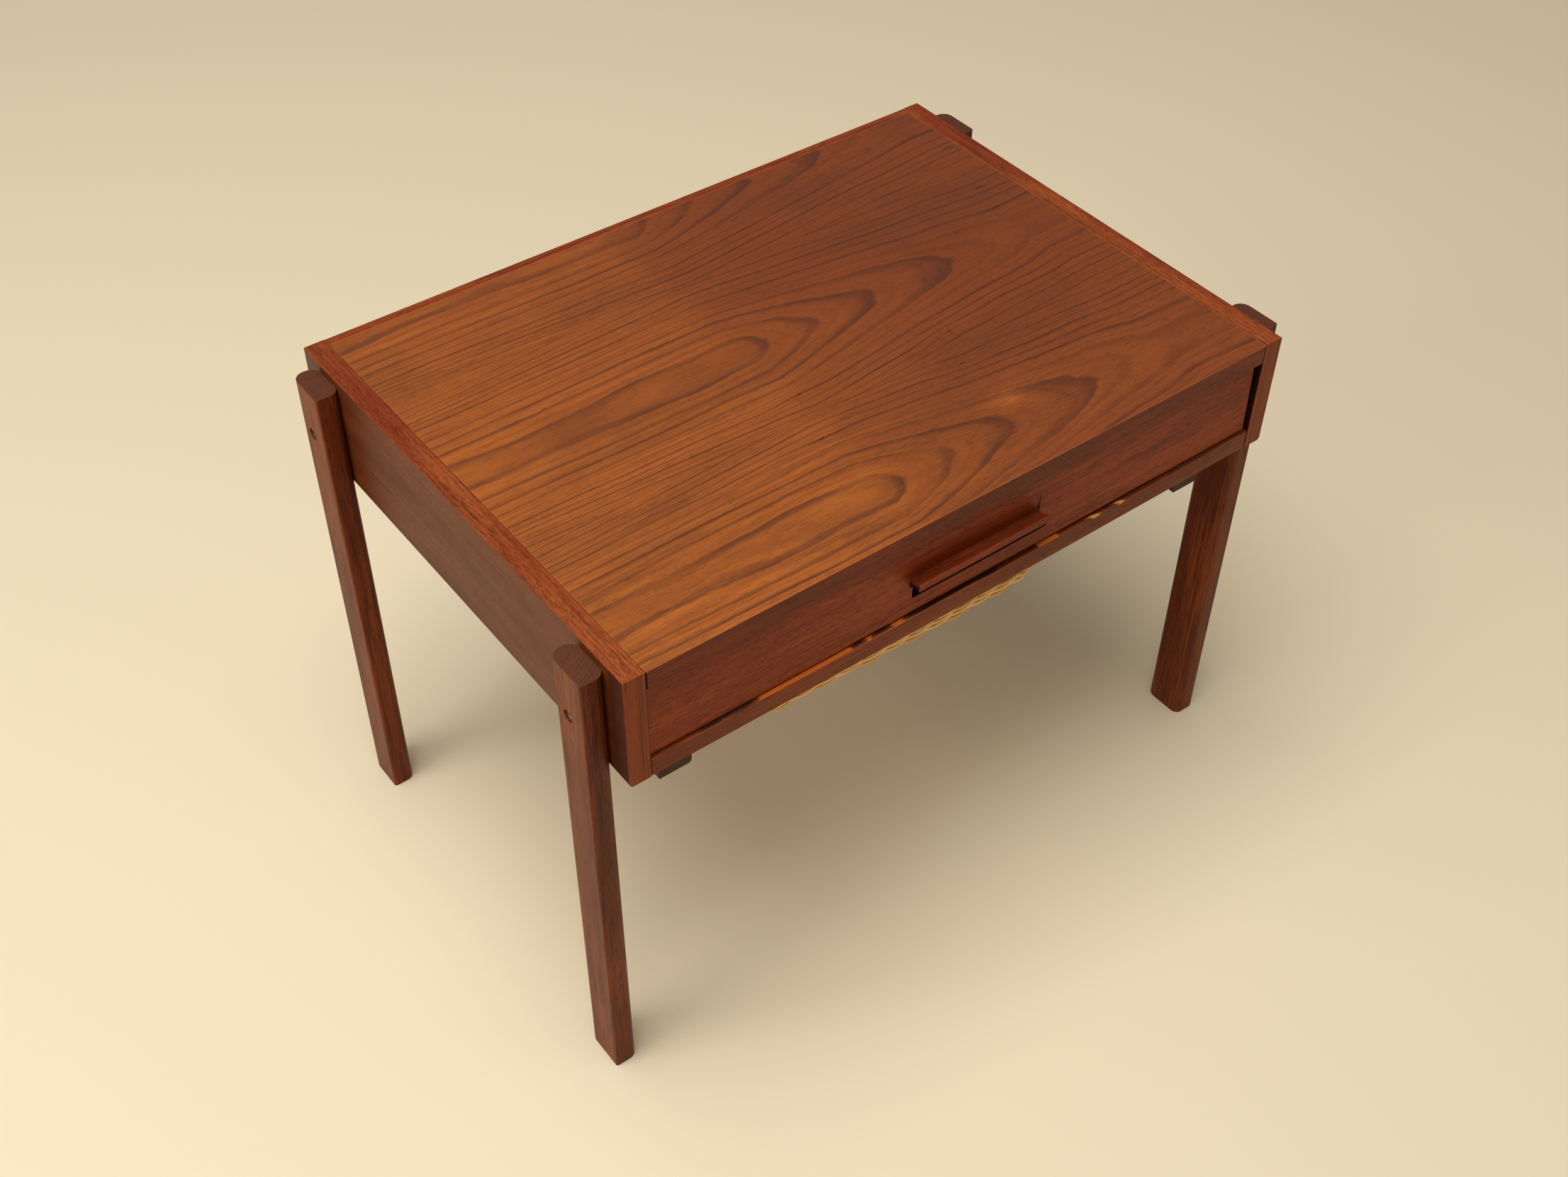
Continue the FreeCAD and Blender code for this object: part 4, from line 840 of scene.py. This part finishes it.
def weave_base(shape, material, chance):
    """Woven bottom: sticks front to back, and canes over and under them."""
    strands = Strands("basket_base")
    up = Vector((0.0, 0.0, 1.0))
    pitch = BOTTOM_LENGTH / BASE_STICKS

    def base_point(x, y, wave=0.0):
        height = shape.bottom + BASE_RISE + shape.lift(x) + wave * BASE_SWING
        return Vector((x, shape.centre_y + y, height))

    for stick in range(BASE_STICKS):
        x = (stick + 0.5 - BASE_STICKS / 2) * pitch
        reach = half_span(x, BOTTOM_LENGTH, BOTTOM_WIDTH) - BASE_MARGIN
        centres = [base_point(x, reach * part) for part in (-1, -0.5, 0, 0.5, 1)]
        strands.add(centres, [Vector((1, 0, 0))] * len(centres), [up] * len(centres),
                    STAKE_RADIUS, STAKE_RADIUS, False, chance.random())
    rows = int((BOTTOM_WIDTH - BASE_FREE_WIDTH) / ROW_PITCH)
    for row in range(rows):
        y = (row + 0.5 - rows / 2) * ROW_PITCH
        reach = half_span(y, BOTTOM_WIDTH, BOTTOM_LENGTH) - BASE_MARGIN
        count = int(2 * reach / pitch * SAMPLES_PER_GAP)
        centres = []
        for i in range(count + 1):
            x = -reach + 2 * reach * i / count
            centres.append(base_point(x, y, math.cos(math.pi * (x / pitch - 0.5 + row))))
        strands.add(centres, [Vector((0, 1, 0))] * len(centres), [up] * len(centres),
                    CANE_HALF_HEIGHT, CANE_HALF_THICKNESS, False, chance.random())
    return strands.build(material)


def plait_border(shape, material, chance):
    """Border on the frame: a twist of three canes."""
    strands = Strands("basket_border")
    low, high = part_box("basket_rim")
    radius = (high.z - low.z) / 2
    cane = radius * BORDER_CANE_SHARE
    swing = (radius - cane) * BORDER_TIGHTNESS
    length = shape.top_length + 2 * radius
    width = shape.top_width + 2 * radius
    middle = Vector((0.0, shape.centre_y, (high.z + low.z) / 2))
    up = Vector((0.0, 0.0, 1.0))
    for strand in range(BORDER_STRANDS):
        centres, outs = [], []
        for i in range(BORDER_SAMPLES):
            share = i / BORDER_SAMPLES
            point, out = round_the_outline(length, width, TOP_CORNER + radius, share)
            turn = 2 * math.pi * (share * STAKES + strand / BORDER_STRANDS)
            sideways = out * (swing * math.cos(turn)) + up * (swing * math.sin(turn))
            centres.append(middle + point + sideways)
            outs.append(out)
        strands.add(centres, outs, [up] * len(centres), cane, cane, True, chance.random())
    return strands.build(material)


def dress_basket():
    chance = random.Random(11)
    shape = BasketShape()
    cane = rattan_material()
    for piece in (weave_wall(shape, cane, chance), stand_stakes(shape, cane, chance),
                  weave_base(shape, cane, chance)):
        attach(piece, "basket")
        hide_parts("basket_wicker")
    border = plait_border(shape, cane, chance)
    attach(border, "basket")
    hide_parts("basket_rim")


# ---- floor, light and camera ----
FLOOR_HALF = 6.0
SKY_COLOUR = (1.0, 0.93, 0.81, 1.0)
SKY_STRENGTH = 0.27
LAMP_COLOUR = (1.0, 0.97, 0.93)
LAMP_TARGET = Vector((0.0, 0.0, 0.3))
CAMERA_PLACE = Vector((-0.71228, -0.91116, 1.31173))
CAMERA_AIM = Vector((0.43682, 0.56905, -0.69669))
CAMERA_UP = Vector((0.41694, 0.55820, 0.71734))
LENS = 43.773                   # mm, on a film this wide
FILM_WIDTH = 36.0


def lay_floor():
    mesh = bpy.data.meshes.new("floor")
    corners = [(x * FLOOR_HALF, y * FLOOR_HALF, 0) for x, y in ((-1, -1), (1, -1), (1, 1), (-1, 1))]
    mesh.from_pydata(corners, [], [(0, 1, 2, 3)])
    mesh.materials.append(floor_material())
    floor = bpy.data.objects.new("floor", mesh)
    bpy.context.scene.collection.objects.link(floor)


def area_light(name, place, size, power):
    """Square lamp of a size in metres and a power in watts, turned towards the object."""
    data = bpy.data.lights.new(name, "AREA")
    data.shape = "SQUARE"
    data.size = size
    data.energy = power
    data.color = LAMP_COLOUR
    light = bpy.data.objects.new(name, data)
    light.location = place
    light.rotation_euler = (LAMP_TARGET - place).to_track_quat("-Z", "Y").to_euler()
    bpy.context.scene.collection.objects.link(light)


def light_studio():
    world = bpy.data.worlds.new("studio")
    world.use_nodes = True
    background = world.node_tree.nodes["Background"]
    background.inputs["Color"].default_value = SKY_COLOUR
    background.inputs["Strength"].default_value = SKY_STRENGTH
    bpy.context.scene.world = world
    area_light("overhead", Vector((-0.9, -0.25, 3.6)), size=2.5, power=122.0)
    area_light("left_fill", Vector((-2.8, 0.2, 1.6)), size=1.6, power=30.0)


def place_camera():
    data = bpy.data.cameras.new("camera")
    data.sensor_width = FILM_WIDTH
    data.lens = LENS
    camera = bpy.data.objects.new("camera", data)
    right = CAMERA_AIM.cross(CAMERA_UP).normalized()
    up = right.cross(CAMERA_AIM).normalized()
    matrix = camera.matrix_world.copy()
    for row in range(3):
        matrix[row] = (right[row], up[row], -CAMERA_AIM[row], CAMERA_PLACE[row])
    camera.matrix_world = matrix
    bpy.context.scene.collection.objects.link(camera)
    bpy.context.scene.camera = camera


place_camera()
lay_floor()
light_studio()
dress_case()
dress_drawer()
dress_basket_frame()
dress_metal()
dress_basket()
bpy.context.scene.view_settings.view_transform = "Standard"
